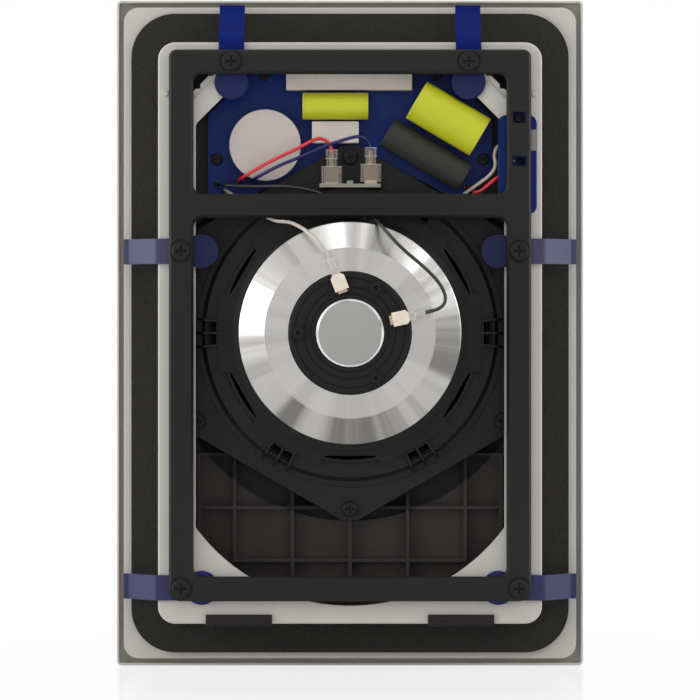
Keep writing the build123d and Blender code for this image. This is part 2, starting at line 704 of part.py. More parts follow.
def clamp_screws():
    """Six screws that draw the clamp frame to the bezel."""
    seat = CLAMP_REAR - CLAMP_RING_DEPTH
    depth = seat - CLAMP_FRONT + CLAMP_SCREW_DEPTH - 1.0
    screw = pan_screw(CLAMP_SCREW, seat, depth)
    return group(Pos(x, y) * screw for x, y, _ in clamp_screw_points().values())


def baffle_outline(grow=0.0):
    """Outer edge of the baffle, moved out or in by grow."""
    inner = TUB_WALL + BAFFLE_GAP - grow
    return RectangleRounded(TUB_WIDTH - 2 * inner, TUB_HEIGHT - 2 * inner, TUB_CORNER - inner)


def rib_lines():
    """Stiffening ribs of the lower half, as flat strips."""
    bottom = -TUB_HEIGHT / 2
    low_y = RIB_FIRST_Y - 2 * RIB_PITCH_Y
    outline = Pos(0, bottom / 2) * Rectangle(RIB_THICKNESS, -bottom)
    for i in (-2, -1, 1, 2):
        end = low_y - RIB_THICKNESS / 2 if abs(i) == 2 else bottom
        outline += Pos(i * RIB_PITCH_X, end / 2) * Rectangle(RIB_THICKNESS, -end)
    for x in (-RIB_SHORT_X, RIB_SHORT_X):
        outline += Pos(x, (RIB_FIRST_Y + bottom) / 2) * Rectangle(RIB_THICKNESS, RIB_FIRST_Y - bottom)
    for i in range(3):
        half = 2 * RIB_PITCH_X if i == 2 else TUB_WIDTH / 2
        outline += Pos(0, RIB_FIRST_Y - i * RIB_PITCH_Y) * Rectangle(2 * half, RIB_THICKNESS)
    return outline


def baffle():
    """Ribbed moulding that fills the tub and carries the driver and the board."""
    outline = baffle_outline()
    recess = Circle(RECESS_RADIUS)
    floor_front = RECESS_FLOOR - BAFFLE_PLATE
    body = slab(outline - recess, BAFFLE_PLATE_FRONT, PLATE_REAR)
    body += slab((Circle(RECESS_RADIUS + BAFFLE_PLATE) - recess) & outline, floor_front, PLATE_REAR)
    body += slab(recess & outline, floor_front, RECESS_FLOOR)
    wall = outline - baffle_outline(-PERIMETER_WALL)
    body += slab(wall, floor_front, PANEL_FRONT)

    seat = Circle(SEAT_INNER_RADIUS + SEAT_WALL)
    ribs = (rib_lines() & outline) - seat
    body += slab(ribs & recess, RECESS_FLOOR, RIB_TOP)
    body += slab(ribs - recess, PLATE_REAR, RIB_TOP)
    body += slab(ring(SEAT_INNER_RADIUS + SEAT_WALL, SEAT_INNER_RADIUS), RECESS_FLOOR, SEAT_REAR)
    body -= slab(Circle(DRIVER_HOLE_RADIUS), floor_front - 1, RECESS_FLOOR + 1)

    screw = DRIVER_SCREW[0]
    for x, y in polar_points(DRIVER_SCREW_CIRCLE, 30, 6):
        body += slab(Pos(x, y) * Circle(screw + SCREW_BOSS_WALL), RECESS_FLOOR, FLANGE_SEAT)
        body -= slab(Pos(x, y) * Circle(screw + SCREW_CLEARANCE), FLANGE_SEAT - DRIVER_SCREW_DEPTH, FLANGE_SEAT + 1)
    for x, y in baffle_screw_points():
        post = Pos(x, y) * Circle(BAFFLE_SCREW[0] + POST_WALL)
        body += slab(post, BAFFLE_PLATE_FRONT, PANEL_FRONT)
        body -= slab(Pos(x, y) * Circle(BAFFLE_SCREW[0] + SCREW_CLEARANCE), floor_front, PANEL_FRONT + 1)
    for x, y in board_screw_points():
        body += slab(Pos(x, y) * Circle(BOARD_SCREW[0] + POST_WALL), PLATE_REAR - 1, BOARD_FRONT)
        hole = Pos(x, y) * Circle(BOARD_SCREW[0] + SCREW_CLEARANCE)
        body -= slab(hole, BOARD_FRONT - BOARD_SCREW_BITE - 0.2, BOARD_FRONT + 1)

    for x, y, _ in clamp_screw_points().values():
        room = CLAMP_SCREW[0] + SCREW_BOSS_WALL + BAFFLE_GAP
        body -= slab(Pos(x, y) * Circle(room), CLAMP_FRONT - CLAMP_SCREW_DEPTH - BAFFLE_GAP, PANEL_FRONT + 1)
    return body


def baffle_screws():
    """Screws driven from the front through the baffle's posts."""
    reach = PANEL_FRONT + BAFFLE_SCREW_BITE - BAFFLE_PLATE_FRONT
    screw = Rot(180, 0, 0) * pan_screw(BAFFLE_SCREW, -BAFFLE_PLATE_FRONT, reach)
    return group(Pos(x, y) * screw for x, y in baffle_screw_points())


def driver_gasket():
    """Thin ring between the baffle's seat and the driver."""
    return slab(ring(SEAT_INNER_RADIUS + SEAT_WALL, SEAT_INNER_RADIUS), SEAT_REAR, FLANGE_SEAT)


def basket_rib():
    """One radial rib, its outer end falling to the flange."""
    outline = make_face(
        Polyline(
            (PLATEAU_RADIUS, 0, BASKET_INSIDE + 0.4), (PLATEAU_RADIUS, 0, PLATEAU_Z),
            (BASKET_RIB_KNEE, 0, PLATEAU_Z), (BASKET_STEP_RADIUS, 0, STEP_REAR),
            (BASKET_STEP_RADIUS, 0, FLANGE_REAR), (RING_OUTER_RADIUS, 0, FLANGE_REAR),
            close=True,
        )
    )
    return extrude(outline, BASKET_RIB_WIDTH / 2, both=True)


def basket():
    """Shallow six-sided frame with its raised ring, rib groups, pockets and vents."""
    inner_wall = LIP_RADIUS - LIP_THICKNESS
    body = turned([
        (BASKET_STEP_RADIUS, FLANGE_SEAT), (BASKET_STEP_RADIUS, STEP_REAR),
        (BASKET_FOOT_RADIUS, STEP_REAR), (RING_OUTER_RADIUS, RING_Z),
        (RING_INNER_RADIUS, RING_Z), (PLATEAU_RADIUS, PLATEAU_Z),
        (CHAMFER_FOOT_RADIUS, PLATEAU_Z), (CHAMFER_TOP_RADIUS, BASKET_REAR),
        (BASKET_BORE, BASKET_REAR), (BASKET_BORE, SPIDER_WELL_FLOOR),
        (SPIDER_WELL_RADIUS, SPIDER_WELL_FLOOR), (SPIDER_WELL_RADIUS, BASKET_INSIDE),
        (inner_wall, BASKET_INSIDE), (inner_wall, LIP_Z + LIP_THICKNESS),
        (LIP_INNER_RADIUS, LIP_Z + LIP_THICKNESS), (LIP_INNER_RADIUS, LIP_Z),
        (LIP_RADIUS, LIP_Z), (LIP_RADIUS, FLANGE_SEAT),
    ])
    hexagon = RegularPolygon(BASKET_FLAT / cos(radians(30)), 6, rotation=30) & Circle(BASKET_TIP_RADIUS)
    body += slab(hexagon - Circle(BASKET_FOOT_RADIUS), FLANGE_SEAT, FLANGE_REAR)

    tab_width = PLATEAU_TAB_FLAT - PLATEAU_TAB_ROOT
    tab = Pos(PLATEAU_TAB_ROOT + tab_width / 2, 0) * Rectangle(tab_width, PLATEAU_TAB_LENGTH)
    for side in range(6):
        body += slab(Rot(0, 0, 60 * side) * tab, BASKET_INSIDE + BASKET_SKIN / 2, PLATEAU_Z)
    for x, y in both_sides(*BASKET_PEG_AT):
        body += slab(Pos(x, y) * Circle(BASKET_PEG[0]), FLANGE_REAR, STEP_REAR + BASKET_PEG[1])

    rib = basket_rib()
    pocket_middle = (POCKET_INNER + POCKET_OUTER) / 2
    gap = 2 * pocket_middle * sin(radians(BASKET_RIB_SPREAD / 2)) - BASKET_RIB_WIDTH
    pocket = Pos(pocket_middle, 0) * Rectangle(POCKET_OUTER - POCKET_INNER, gap)
    for side in range(6):
        for turn in (-BASKET_RIB_SPREAD / 2, BASKET_RIB_SPREAD / 2):
            body -= slab(Rot(0, 0, 60 * side + turn) * pocket, BASKET_INSIDE - 1, RING_Z + 1)
        for turn in (-BASKET_RIB_SPREAD, 0, BASKET_RIB_SPREAD):
            body += Rot(0, 0, 60 * side + turn) * rib

    beyond = Pos(VENT_FLAT + 10, 0) * Rectangle(20, 2 * VENT_HALF_LENGTH)
    vent = Circle(VENT_RADIUS) & beyond
    for side in range(6):
        body -= slab(Rot(0, 0, 30 + 60 * side) * vent, BASKET_INSIDE - 1, PLATEAU_Z + 1)
    for x, y in polar_points(DRIVER_SCREW_CIRCLE, 30, 6):
        body -= slab(Pos(x, y) * Circle(DRIVER_SCREW[0] + SCREW_CLEARANCE), FLANGE_SEAT - 1, FLANGE_REAR + 1)
    seat = STRIP_THICKNESS + 2 * STRIP_FIT
    seat_outline = Pos(0, STRIP_Y + STRIP_THICKNESS / 2) * Rectangle(STRIP_WIDTH + 2 * STRIP_FIT, seat)
    return body - slab(seat_outline, STEP_REAR, RING_Z + 1)


def driver_screws():
    """Six screws that hold the driver to the baffle."""
    depth = FLANGE_REAR - FLANGE_SEAT + DRIVER_SCREW_DEPTH - 0.5
    screw = pan_screw(DRIVER_SCREW, FLANGE_REAR, depth)
    return group(Pos(x, y) * screw for x, y in polar_points(DRIVER_SCREW_CIRCLE, 30, 6))


def top_plate():
    """Steel plate at the front of the magnet."""
    return slab(ring(TOP_PLATE_RADIUS, WINDING_RADIUS + COIL_GAP), BASKET_REAR, TOP_PLATE_REAR)


def ferrite_magnet():
    """Ring magnet, its edges broken."""
    body = slab(ring(FERRITE_RADIUS, FERRITE_BORE), TOP_PLATE_REAR, FERRITE_REAR)
    outer = [e for e in body.edges() if e.geom_type == GeomType.CIRCLE and e.radius > FERRITE_RADIUS - 0.01]
    return chamfer(outer, 1.0)


def yoke():
    """Steel back plate and pole in one, bored for the tweeter's throat."""
    ledge = YOKE_REAR - DOME_SKIN
    throat_end = YOKE_REAR - DOME_SKIN - THROAT_DEPTH
    return turned([
        (POLE_BORE, BASKET_REAR), (POLE_RADIUS, BASKET_REAR), (POLE_RADIUS, FERRITE_REAR),
        (YOKE_RADIUS, FERRITE_REAR), (YOKE_RADIUS, YOKE_REAR), (DOME_RIM_RADIUS, YOKE_REAR),
        (DOME_RIM_RADIUS, ledge), (THROAT_RADIUS, ledge), (THROAT_RADIUS, throat_end),
        (POLE_BORE, throat_end - THROAT_TAPER),
    ])


def rear_cap():
    """Turned cap over the back plate, bevelled round its rim and bored for the tweeter."""
    seat = COVER_RADIUS + CAP_FIT
    bore = POT_RADIUS + POT_CLEARANCE
    body = turned([
        (YOKE_RADIUS + CAP_FIT, FERRITE_REAR), (CAP_RADIUS, FERRITE_REAR),
        (CAP_RADIUS, CAP_REAR - CAP_BEVEL_HEIGHT), (CAP_FLAT_RADIUS, CAP_REAR),
        (seat, CAP_REAR), (seat, COVER_FRONT), (bore, COVER_FRONT), (bore, YOKE_REAR),
        (YOKE_RADIUS + CAP_FIT, YOKE_REAR),
    ])
    for x, y in polar_points(COVER_SCREW_CIRCLE, 60, 3):
        hole = Pos(x, y) * Circle(COVER_SCREW[0] + SCREW_CLEARANCE)
        body -= slab(hole, COVER_FRONT - COVER_SCREW_BITE - 0.3, COVER_FRONT + 1)
    return body


def tweeter_cover():
    """Round rear cover with turned grooves and three screw bosses."""
    bore = POT_RADIUS + POT_CLEARANCE
    body = slab(ring(COVER_RADIUS, bore), COVER_FRONT, COVER_REAR)
    rim = [e for e in body.edges().group_by(Axis.Z)[-1] if e.radius > COVER_RADIUS - 0.01]
    body = fillet(rim, 0.6)
    for radius in COVER_GROOVES:
        groove = ring(radius + COVER_GROOVE_WIDTH / 2, radius - COVER_GROOVE_WIDTH / 2)
        body -= slab(groove, COVER_REAR - COVER_GROOVE_DEPTH, COVER_REAR + 1)
    for x, y in polar_points(COVER_SCREW_CIRCLE, 60, 3):
        body += slab(Pos(x, y) * Circle(COVER_BOSS_RADIUS), COVER_FRONT, COVER_REAR + COVER_BOSS_HEIGHT)
        body -= slab(Pos(x, y) * Circle(COVER_SCREW[0] + SCREW_CLEARANCE), COVER_FRONT - 1, COVER_REAR + 2)
    return body


def cover_screws():
    """Three socket-head screws of the tweeter cover."""
    shank, head, height = COVER_SCREW
    seat = COVER_REAR + COVER_BOSS_HEIGHT
    reach = seat - COVER_FRONT + COVER_SCREW_BITE
    screw = slab(Circle(shank), seat - reach, seat) + slab(Circle(head), seat, seat + height)
    socket = slab(RegularPolygon(head * 0.55, 6), seat + height * 0.4, seat + height + 1)
    return group(Pos(x, y) * (screw - socket) for x, y in polar_points(COVER_SCREW_CIRCLE, 60, 3))


def tweeter_pot():
    """Turned pot of the tweeter's own magnet, its rear face showing."""
    body = slab(Circle(POT_RADIUS), YOKE_REAR, POT_REAR)
    return chamfer(body.edges().group_by(Axis.Z)[-1], POT_CHAMFER)


def tweeter_dome():
    """Formed diaphragm, clamped at its rim, with the dome facing forward."""
    ledge = YOKE_REAR - DOME_SKIN
    sphere = (DOME_RADIUS**2 + DOME_HEIGHT**2) / (2 * DOME_HEIGHT)
    centre = ledge + sphere - DOME_HEIGHT
    ball = Pos(0, 0, centre) * (Sphere(sphere) - Sphere(sphere - DOME_SKIN))
    cap = ball & slab(Circle(DOME_RADIUS), ledge - DOME_HEIGHT - 1, YOKE_REAR)
    rim = slab(ring(DOME_RIM_RADIUS, DOME_RADIUS - 0.4), ledge, YOKE_REAR)
    return cap + rim


def tweeter_horn():
    """Waveguide that stands on the pole and opens inside the cone."""
    tail = BASKET_REAR + HORN_TAIL
    shoulder = HORN_FOOT_RADIUS + HORN_WALL
    return turned([
        (HORN_BORE, tail), (HORN_BORE, BASKET_REAR), (HORN_FOOT_RADIUS - 4.6, BASKET_REAR - 6),
        (HORN_FOOT_RADIUS, HORN_MOUTH_Z + 4.0), (HORN_MOUTH_RADIUS, HORN_MOUTH_Z),
        (HORN_MOUTH_RADIUS, HORN_MOUTH_Z + 0.8), (shoulder, HORN_MOUTH_Z + 4.8),
        (HORN_FOOT_RADIUS, BASKET_REAR - 6), (HORN_FOOT_RADIUS, BASKET_REAR),
        (POLE_BORE - 0.1, BASKET_REAR), (POLE_BORE - 0.1, tail),
    ])


def cone():
    """Shallow paper cone with its neck collar and rim land."""
    rim_end = CONE_RIM_RADIUS + CONE_RIM_LAND
    neck = FORMER_OUTER + CONE_COLLAR
    return turned([
        (FORMER_OUTER, CONE_NECK_Z), (neck, CONE_NECK_Z), (CONE_RIM_RADIUS, CONE_RIM_Z),
        (rim_end, CONE_RIM_Z), (rim_end, CONE_RIM_Z + CONE_SKIN),
        (CONE_RIM_RADIUS, CONE_RIM_Z + CONE_SKIN), (neck, CONE_NECK_Z + CONE_SKIN),
        (neck, CONE_NECK_Z + CONE_COLLAR_HEIGHT), (FORMER_OUTER, CONE_NECK_Z + CONE_COLLAR_HEIGHT),
    ])


def voice_coil_former():
    """Thin tube that carries the winding."""
    return slab(ring(FORMER_OUTER, FORMER_INNER), FORMER_FRONT, FORMER_REAR)


def voice_coil():
    """Winding on the former, centred in the gap."""
    middle = BASKET_REAR + TOP_PLATE_THICKNESS / 2
    half = WINDING_LENGTH / 2
    return slab(ring(WINDING_RADIUS, FORMER_OUTER), middle - half, middle + half)


def surround():
    """Half-roll between the cone's rim and the basket's lip."""
    inner = CONE_RIM_RADIUS + CONE_RIM_LAND
    middle = inner + ROLL_RADIUS
    level = CONE_RIM_Z - ROLL_SKIN / 2
    roll = ring(ROLL_RADIUS + ROLL_SKIN / 2, ROLL_RADIUS - ROLL_SKIN / 2)
    roll &= Pos(0, -ROLL_RADIUS) * Rectangle(4 * ROLL_RADIUS, 2 * ROLL_RADIUS)
    land_in = Pos(-ROLL_RADIUS - CONE_RIM_LAND / 2, 0) * Rectangle(CONE_RIM_LAND + ROLL_SKIN, ROLL_SKIN)
    land_out = Pos(ROLL_RADIUS + ROLL_LAND / 2, 0) * Rectangle(ROLL_LAND + ROLL_SKIN, ROLL_SKIN)
    section = Plane.XZ * Pos(middle, level) * (roll + land_in + land_out)
    return revolve(section, Axis.Z, 360)


def spider():
    """Corrugated suspension from the former to the basket."""
    land_z = BASKET_INSIDE - SPIDER_SKIN / 2
    start, end = FORMER_OUTER, SPIDER_WELL_RADIUS
    steps = 2 * SPIDER_WAVES
    line = [(start, SPIDER_NECK_Z), (start + 1.2, SPIDER_NECK_Z)]
    for i in range(1, steps):
        share = i / steps
        z = SPIDER_NECK_Z + (land_z - SPIDER_NECK_Z) * share
        wave = SPIDER_WAVE if i % 2 else -SPIDER_WAVE
        line.append((start + 1.2 + (end - start - 1.2) * share, z + wave))
    line += [(end, land_z), (end + SPIDER_LAND, land_z)]
    half = SPIDER_SKIN / 2
    return turned([(r, z + half) for r, z in line] + [(r, z - half) for r, z in reversed(line)])


def board():
    """Crossover board, cut round the driver and chamfered at its corners."""
    shoulder = BOARD_CHAMFER_SUM - BOARD_HALF_WIDTH
    flat = BOARD_CHAMFER_SUM - BOARD_TOP
    outline = make_face(
        Polyline(
            (-BOARD_HALF_WIDTH, BOARD_LEFT_BOTTOM), (-BOARD_HALF_WIDTH, shoulder), (-flat, BOARD_TOP),
            (flat, BOARD_TOP), (BOARD_HALF_WIDTH, shoulder), (BOARD_HALF_WIDTH, BOARD_RIGHT_BOTTOM),
            (BOARD_CUT_X, BOARD_CUT_Y), (0, BOARD_CUT_Y), close=True,
        )
    )
    outline -= Circle(BOARD_ARC_RADIUS)
    boss = DRIVER_SCREW[0] + SCREW_BOSS_WALL + BOARD_BOSS_CLEARANCE
    outline -= Pos(0, DRIVER_SCREW_CIRCLE) * Circle(boss)
    body = slab(outline, BOARD_FRONT, BOARD_REAR)
    for x, y in board_screw_points():
        body -= slab(Pos(x, y) * Circle(BOARD_SCREW[0] + SCREW_CLEARANCE), BOARD_FRONT - 1, BOARD_REAR + 1)
    return body


def board_screws():
    """Four screws of the crossover board."""
    screw = pan_screw(BOARD_SCREW, BOARD_REAR, BOARD_THICKNESS + BOARD_SCREW_BITE)
    return group(Pos(x, y) * screw for x, y in board_screw_points())


def coil_bobbin():
    """Bobbin of the inductor: two discs and a core."""
    x, y = COIL_CENTRE
    end = BOARD_REAR + COIL_HEIGHT
    body = slab(Circle(COIL_RADIUS), end - COIL_FLANGE, end)
    body = fillet(body.edges().group_by(Axis.Z)[-1], 0.5)
    body += slab(Circle(COIL_CORE_RADIUS), BOARD_REAR, end - COIL_FLANGE)
    body += slab(Circle(COIL_WIRE_RADIUS), BOARD_REAR, BOARD_REAR + COIL_FLANGE)
    return Pos(x, y) * body


def coil_winding():
    """Copper winding between the bobbin's discs."""
    end = BOARD_REAR + COIL_HEIGHT - COIL_FLANGE
    section = ring(COIL_WIRE_RADIUS, COIL_CORE_RADIUS)
    return Pos(*COIL_CENTRE) * slab(section, BOARD_REAR + COIL_FLANGE, end)


def block_on_board(size, centre):
    """Square-edged moulded resistor lying on the board."""
    width, height, depth = size
    body = slab(Rectangle(width, height), BOARD_REAR, BOARD_REAR + depth)
    return Pos(*centre) * fillet(body.edges().filter_by(Axis.Z) + body.edges().group_by(Axis.Z)[-1], 0.5)


def can_on_board(size, centre, tilt, edge):
    """Round capacitor lying on the board on its two bent legs."""
    radius, length = size
    axis_z = BOARD_REAR + CAPACITOR_LIFT + radius
    body = Rot(0, 90, 0) * Cylinder(radius, length)
    ends = [e for e in body.edges() if e.geom_type == GeomType.CIRCLE]
    body = Pos(0, 0, axis_z) * fillet(ends, edge)
    for side in (-1, 1):
        leg_x = side * (length / 2 - 2.0)
        body += slab(Pos(leg_x, 0) * Circle(LEG_RADIUS), BOARD_REAR, axis_z)
    return Pos(*centre) * Rot(0, 0, tilt) * body


def terminal_block():
    """Input block: a rounded flange on the panel and a body through it."""
    outline = Pos(*BLOCK_CENTRE) * RectangleRounded(BLOCK_WIDTH, BLOCK_HEIGHT, BLOCK_CORNER)
    flange = slab(outline + Pos(*BLOCK_SCREW_AT) * Circle(BLOCK_EAR), TUB_DEPTH, BLOCK_REAR)
    flange = chamfer(flange.edges().group_by(Axis.Z)[-1], BLOCK_EDGE)
    body = Pos(*BLOCK_BODY_CENTRE) * slab(
        Rectangle(BLOCK_BODY_WIDTH, BLOCK_BODY_HEIGHT), BLOCK_BODY_FRONT, TUB_DEPTH
    )
    body += flange
    body -= slab(Pos(*CABLE_ENTRY_AT) * Circle(CABLE_ENTRY_RADIUS), BLOCK_REAR - CABLE_ENTRY_DEPTH, BLOCK_REAR + 1)
    screw_hole = Pos(*BLOCK_SCREW_AT) * Circle(BLOCK_SCREW[0] + SCREW_CLEARANCE)
    body -= slab(screw_hole, BLOCK_REAR - BLOCK_SCREW_DEPTH - 1, BLOCK_REAR + 1)
    body -= slab(Pos(*INSERT_CENTRE) * Rectangle(INSERT[0], INSERT[1]), BLOCK_REAR - INSERT[2], BLOCK_REAR + 1)
    return body - slab(Pos(*CONTACT_AT) * Circle(CONTACT_RADIUS), BLOCK_REAR - 2.0, BLOCK_REAR + 1)


def terminal_inserts():
    """Pale plate and contact pip set in the block's flange."""
    plate = slab(Pos(*INSERT_CENTRE) * Rectangle(INSERT[0], INSERT[1]), BLOCK_REAR - INSERT[2], BLOCK_REAR)
    pip = slab(Pos(*CONTACT_AT) * Circle(CONTACT_RADIUS), BLOCK_REAR - 2.0, BLOCK_REAR + 0.2)
    return group([plate, pip])


def terminal_screw():
    """Screw in the upper window of the clamp frame."""
    return Pos(*BLOCK_SCREW_AT) * pan_screw(BLOCK_SCREW, BLOCK_REAR, BLOCK_SCREW_DEPTH)


def terminal_strip():
    """Insulating strip that stands on the basket and holds the woofer's tabs."""
    top = STRIP_Y + STRIP_THICKNESS
    plate = Pos(0, STRIP_Y + STRIP_THICKNESS / 2) * Rectangle(STRIP_WIDTH, STRIP_THICKNESS)
    nub = Pos(0, top + STRIP_NUB / 2) * Rectangle(2 * STRIP_NUB, STRIP_NUB)
    body = slab(plate, STEP_REAR, STEP_REAR + STRIP_HEIGHT) + slab(nub, STEP_REAR, STEP_REAR + STRIP_HEIGHT)
    for x in (SLEEVE_RED_AT[0], SLEEVE_BLUE_AT[0]):
        body -= Pos(x, top, TAB_Z) * Box(TAB_WIDTH, TAB_LENGTH, TAB_THICKNESS)
    return body


def terminal_tabs():
    """The woofer's two flat tabs."""
    top = STRIP_Y + STRIP_THICKNESS
    half = TAB_LENGTH / 2
    tabs = []
    for x in (SLEEVE_RED_AT[0], SLEEVE_BLUE_AT[0]):
        tabs.append(Pos(x, top + half - 1.5, TAB_Z) * Box(TAB_WIDTH, TAB_LENGTH, TAB_THICKNESS))
    return group(tabs)


def stacked(sizes, grow):
    """Rounded blocks one above the other from y = 0, each grown on its sides."""
    body, base = None, 0.0
    for width, height, depth in sizes:
        outline = Rectangle(width + 2 * grow, depth + 2 * grow)
        block = extrude(Plane((0, base, 0), x_dir=(1, 0, 0), z_dir=(0, 1, 0)) * outline, height)
        body = block if body is None else body + block
        base += height
    return body


def woofer_sleeve(at):
    """Insulating sleeve: body, neck and collar, open at both ends."""
    parts = (SLEEVE_BODY, SLEEVE_NECK, SLEEVE_COLLAR)
    shell = stacked(parts, 0.0)
    shell = fillet(shell.edges().filter_by(Axis.Y), 0.9)
    shell -= stacked(parts, -SLEEVE_SKIN)
    return Pos(at[0], at[1], TAB_Z) * shell


def woofer_receptacle(at):
    """Metal receptacle inside a sleeve, with a crimp barrel."""
    width, length, depth = RECEPTACLE
    middle = RECEPTACLE_SETBACK + length / 2
    body = Pos(0, middle, 0) * Box(width, length, depth)
    body -= Pos(0, middle, 0) * Box(TAB_WIDTH + 0.1, length + 2, TAB_THICKNESS + 0.1)
    barrel = Pos(0, 0, BARREL_LENGTH / 2) * Cylinder(LEAD_RADIUS + BARREL_WALL, BARREL_LENGTH)
    barrel -= Pos(0, 0, BARREL_LENGTH) * Cylinder(LEAD_RADIUS + BARREL_FIT, 2 * BARREL_BORE)
    body += Pos(0, RECEPTACLE_SETBACK + length, 0) * Rot(-90, 0, 0) * barrel
    return Pos(at[0], at[1], TAB_Z) * body


def at_connector(tip, angle, z):
    """Frame of a tweeter connector: x runs outward from its tip."""
    return Pos(tip[0], tip[1], z) * Rot(0, 0, angle)


def tweeter_tabs():
    """The tweeter's two flat tabs, bent up from its cover."""
    width, thickness, length = TWEETER_TAB
    foot = TWEETER_TAB_Z - COVER_REAR
    blade = Pos(length / 2 + 0.6, 0) * Box(length, width, thickness)
    stem = Pos(0.6 + thickness / 2, 0, -foot / 2) * Box(thickness, width, foot)
    return group(
        at_connector(tip, angle, TWEETER_TAB_Z) * (blade + stem)
        for tip, angle in (
            (WHITE_CONNECTOR_TIP, WHITE_CONNECTOR_ANGLE), (BLACK_CONNECTOR_TIP, BLACK_CONNECTOR_ANGLE),
        )
    )


def connector_point(tip, angle, distance):
    """Point on a tweeter connector's axis, outward from its tip."""
    turn = radians(angle)
    return tip[0] + distance * cos(turn), tip[1] + distance * sin(turn), TWEETER_TAB_Z


def connector_end():
    """Distance from a connector's tip to the end of its barrel."""
    return CONNECTOR_START + CONNECTOR_HOOD[1] + CONNECTOR_NECK[1] + CONNECTOR_BARREL[1]


def connector_lead(route, tip, angle):
    """Route whose last run lies in a tweeter connector's barrel."""
    floor = connector_end() - CONNECTOR_BORE_DEPTH
    run = [connector_point(tip, angle, floor + CONNECTOR_LEAD_RUN), connector_point(tip, angle, floor)]
    return route + run


def tweeter_connector(tip, angle):
    """Push-on connector: hood over the tab, neck and wire barrel."""
    start = CONNECTOR_START
    width, length, depth = CONNECTOR_HOOD
    hood = Pos(start + length / 2, 0) * Box(length, width, depth)
    hood = chamfer(hood.edges().filter_by(Axis.Z).group_by(Axis.X)[-1], CONNECTOR_SHOULDER)
    hood = fillet(hood.edges().filter_by(Axis.X), 0.8)
    hood -= Pos(start + length / 2 - 0.4, 0) * Box(length + 0.8, TWEETER_TAB[0] + 0.3, TWEETER_TAB[1] + 0.3)
    neck_width, neck_length, neck_depth = CONNECTOR_NECK
    neck = Pos(start + length + neck_length / 2, 0) * Box(neck_length, neck_width, neck_depth)
    radius, barrel_length = CONNECTOR_BARREL
    barrel_start = start + length + neck_length
    barrel = Pos(barrel_start + barrel_length / 2, 0) * Rot(0, 90, 0) * Cylinder(radius, barrel_length)
    bore = Pos(connector_end(), 0) * Rot(0, 90, 0) * Cylinder(LEAD_RADIUS + 0.25, 2 * CONNECTOR_BORE_DEPTH)
    return at_connector(tip, angle, TWEETER_TAB_Z) * (hood + neck + barrel - bore)


def arc_radii(route):
    """Radius at each inner point: a share of its shorter run over the tangent of half the turn."""
    points = [Vector(*p) for p in route]
    radii = []
    for before, here, after in zip(points, points[1:], points[2:]):
        turn = (here - before).get_angle(after - here)
        shorter = min((here - before).length, (after - here).length)
        radii.append(ARC_SHARE * shorter / tan(radians(turn / 2)))
    return radii


def lead(route):
    """Round lead along straight runs joined by arcs."""
    path = FilletPolyline(route, radius=arc_radii(route))
    first = Plane(origin=route[0], z_dir=Vector(*route[1]) - Vector(*route[0]))
    return sweep(first * Circle(LEAD_RADIUS), path), path.length


def report_lead(name, route, solid, length):
    """Print a lead's arcs and compare its volume with section times length."""
    radii = arc_radii(route)
    section = pi * LEAD_RADIUS**2
    print(f"{name}: length {length:.1f}, radii {[round(r, 1) for r in radii]}")
    diameters = min(radii) / (2 * LEAD_RADIUS)
    print(f"{name}: smallest {diameters:.1f} diameters, volume ratio {solid.volume / section / length:.4f}")


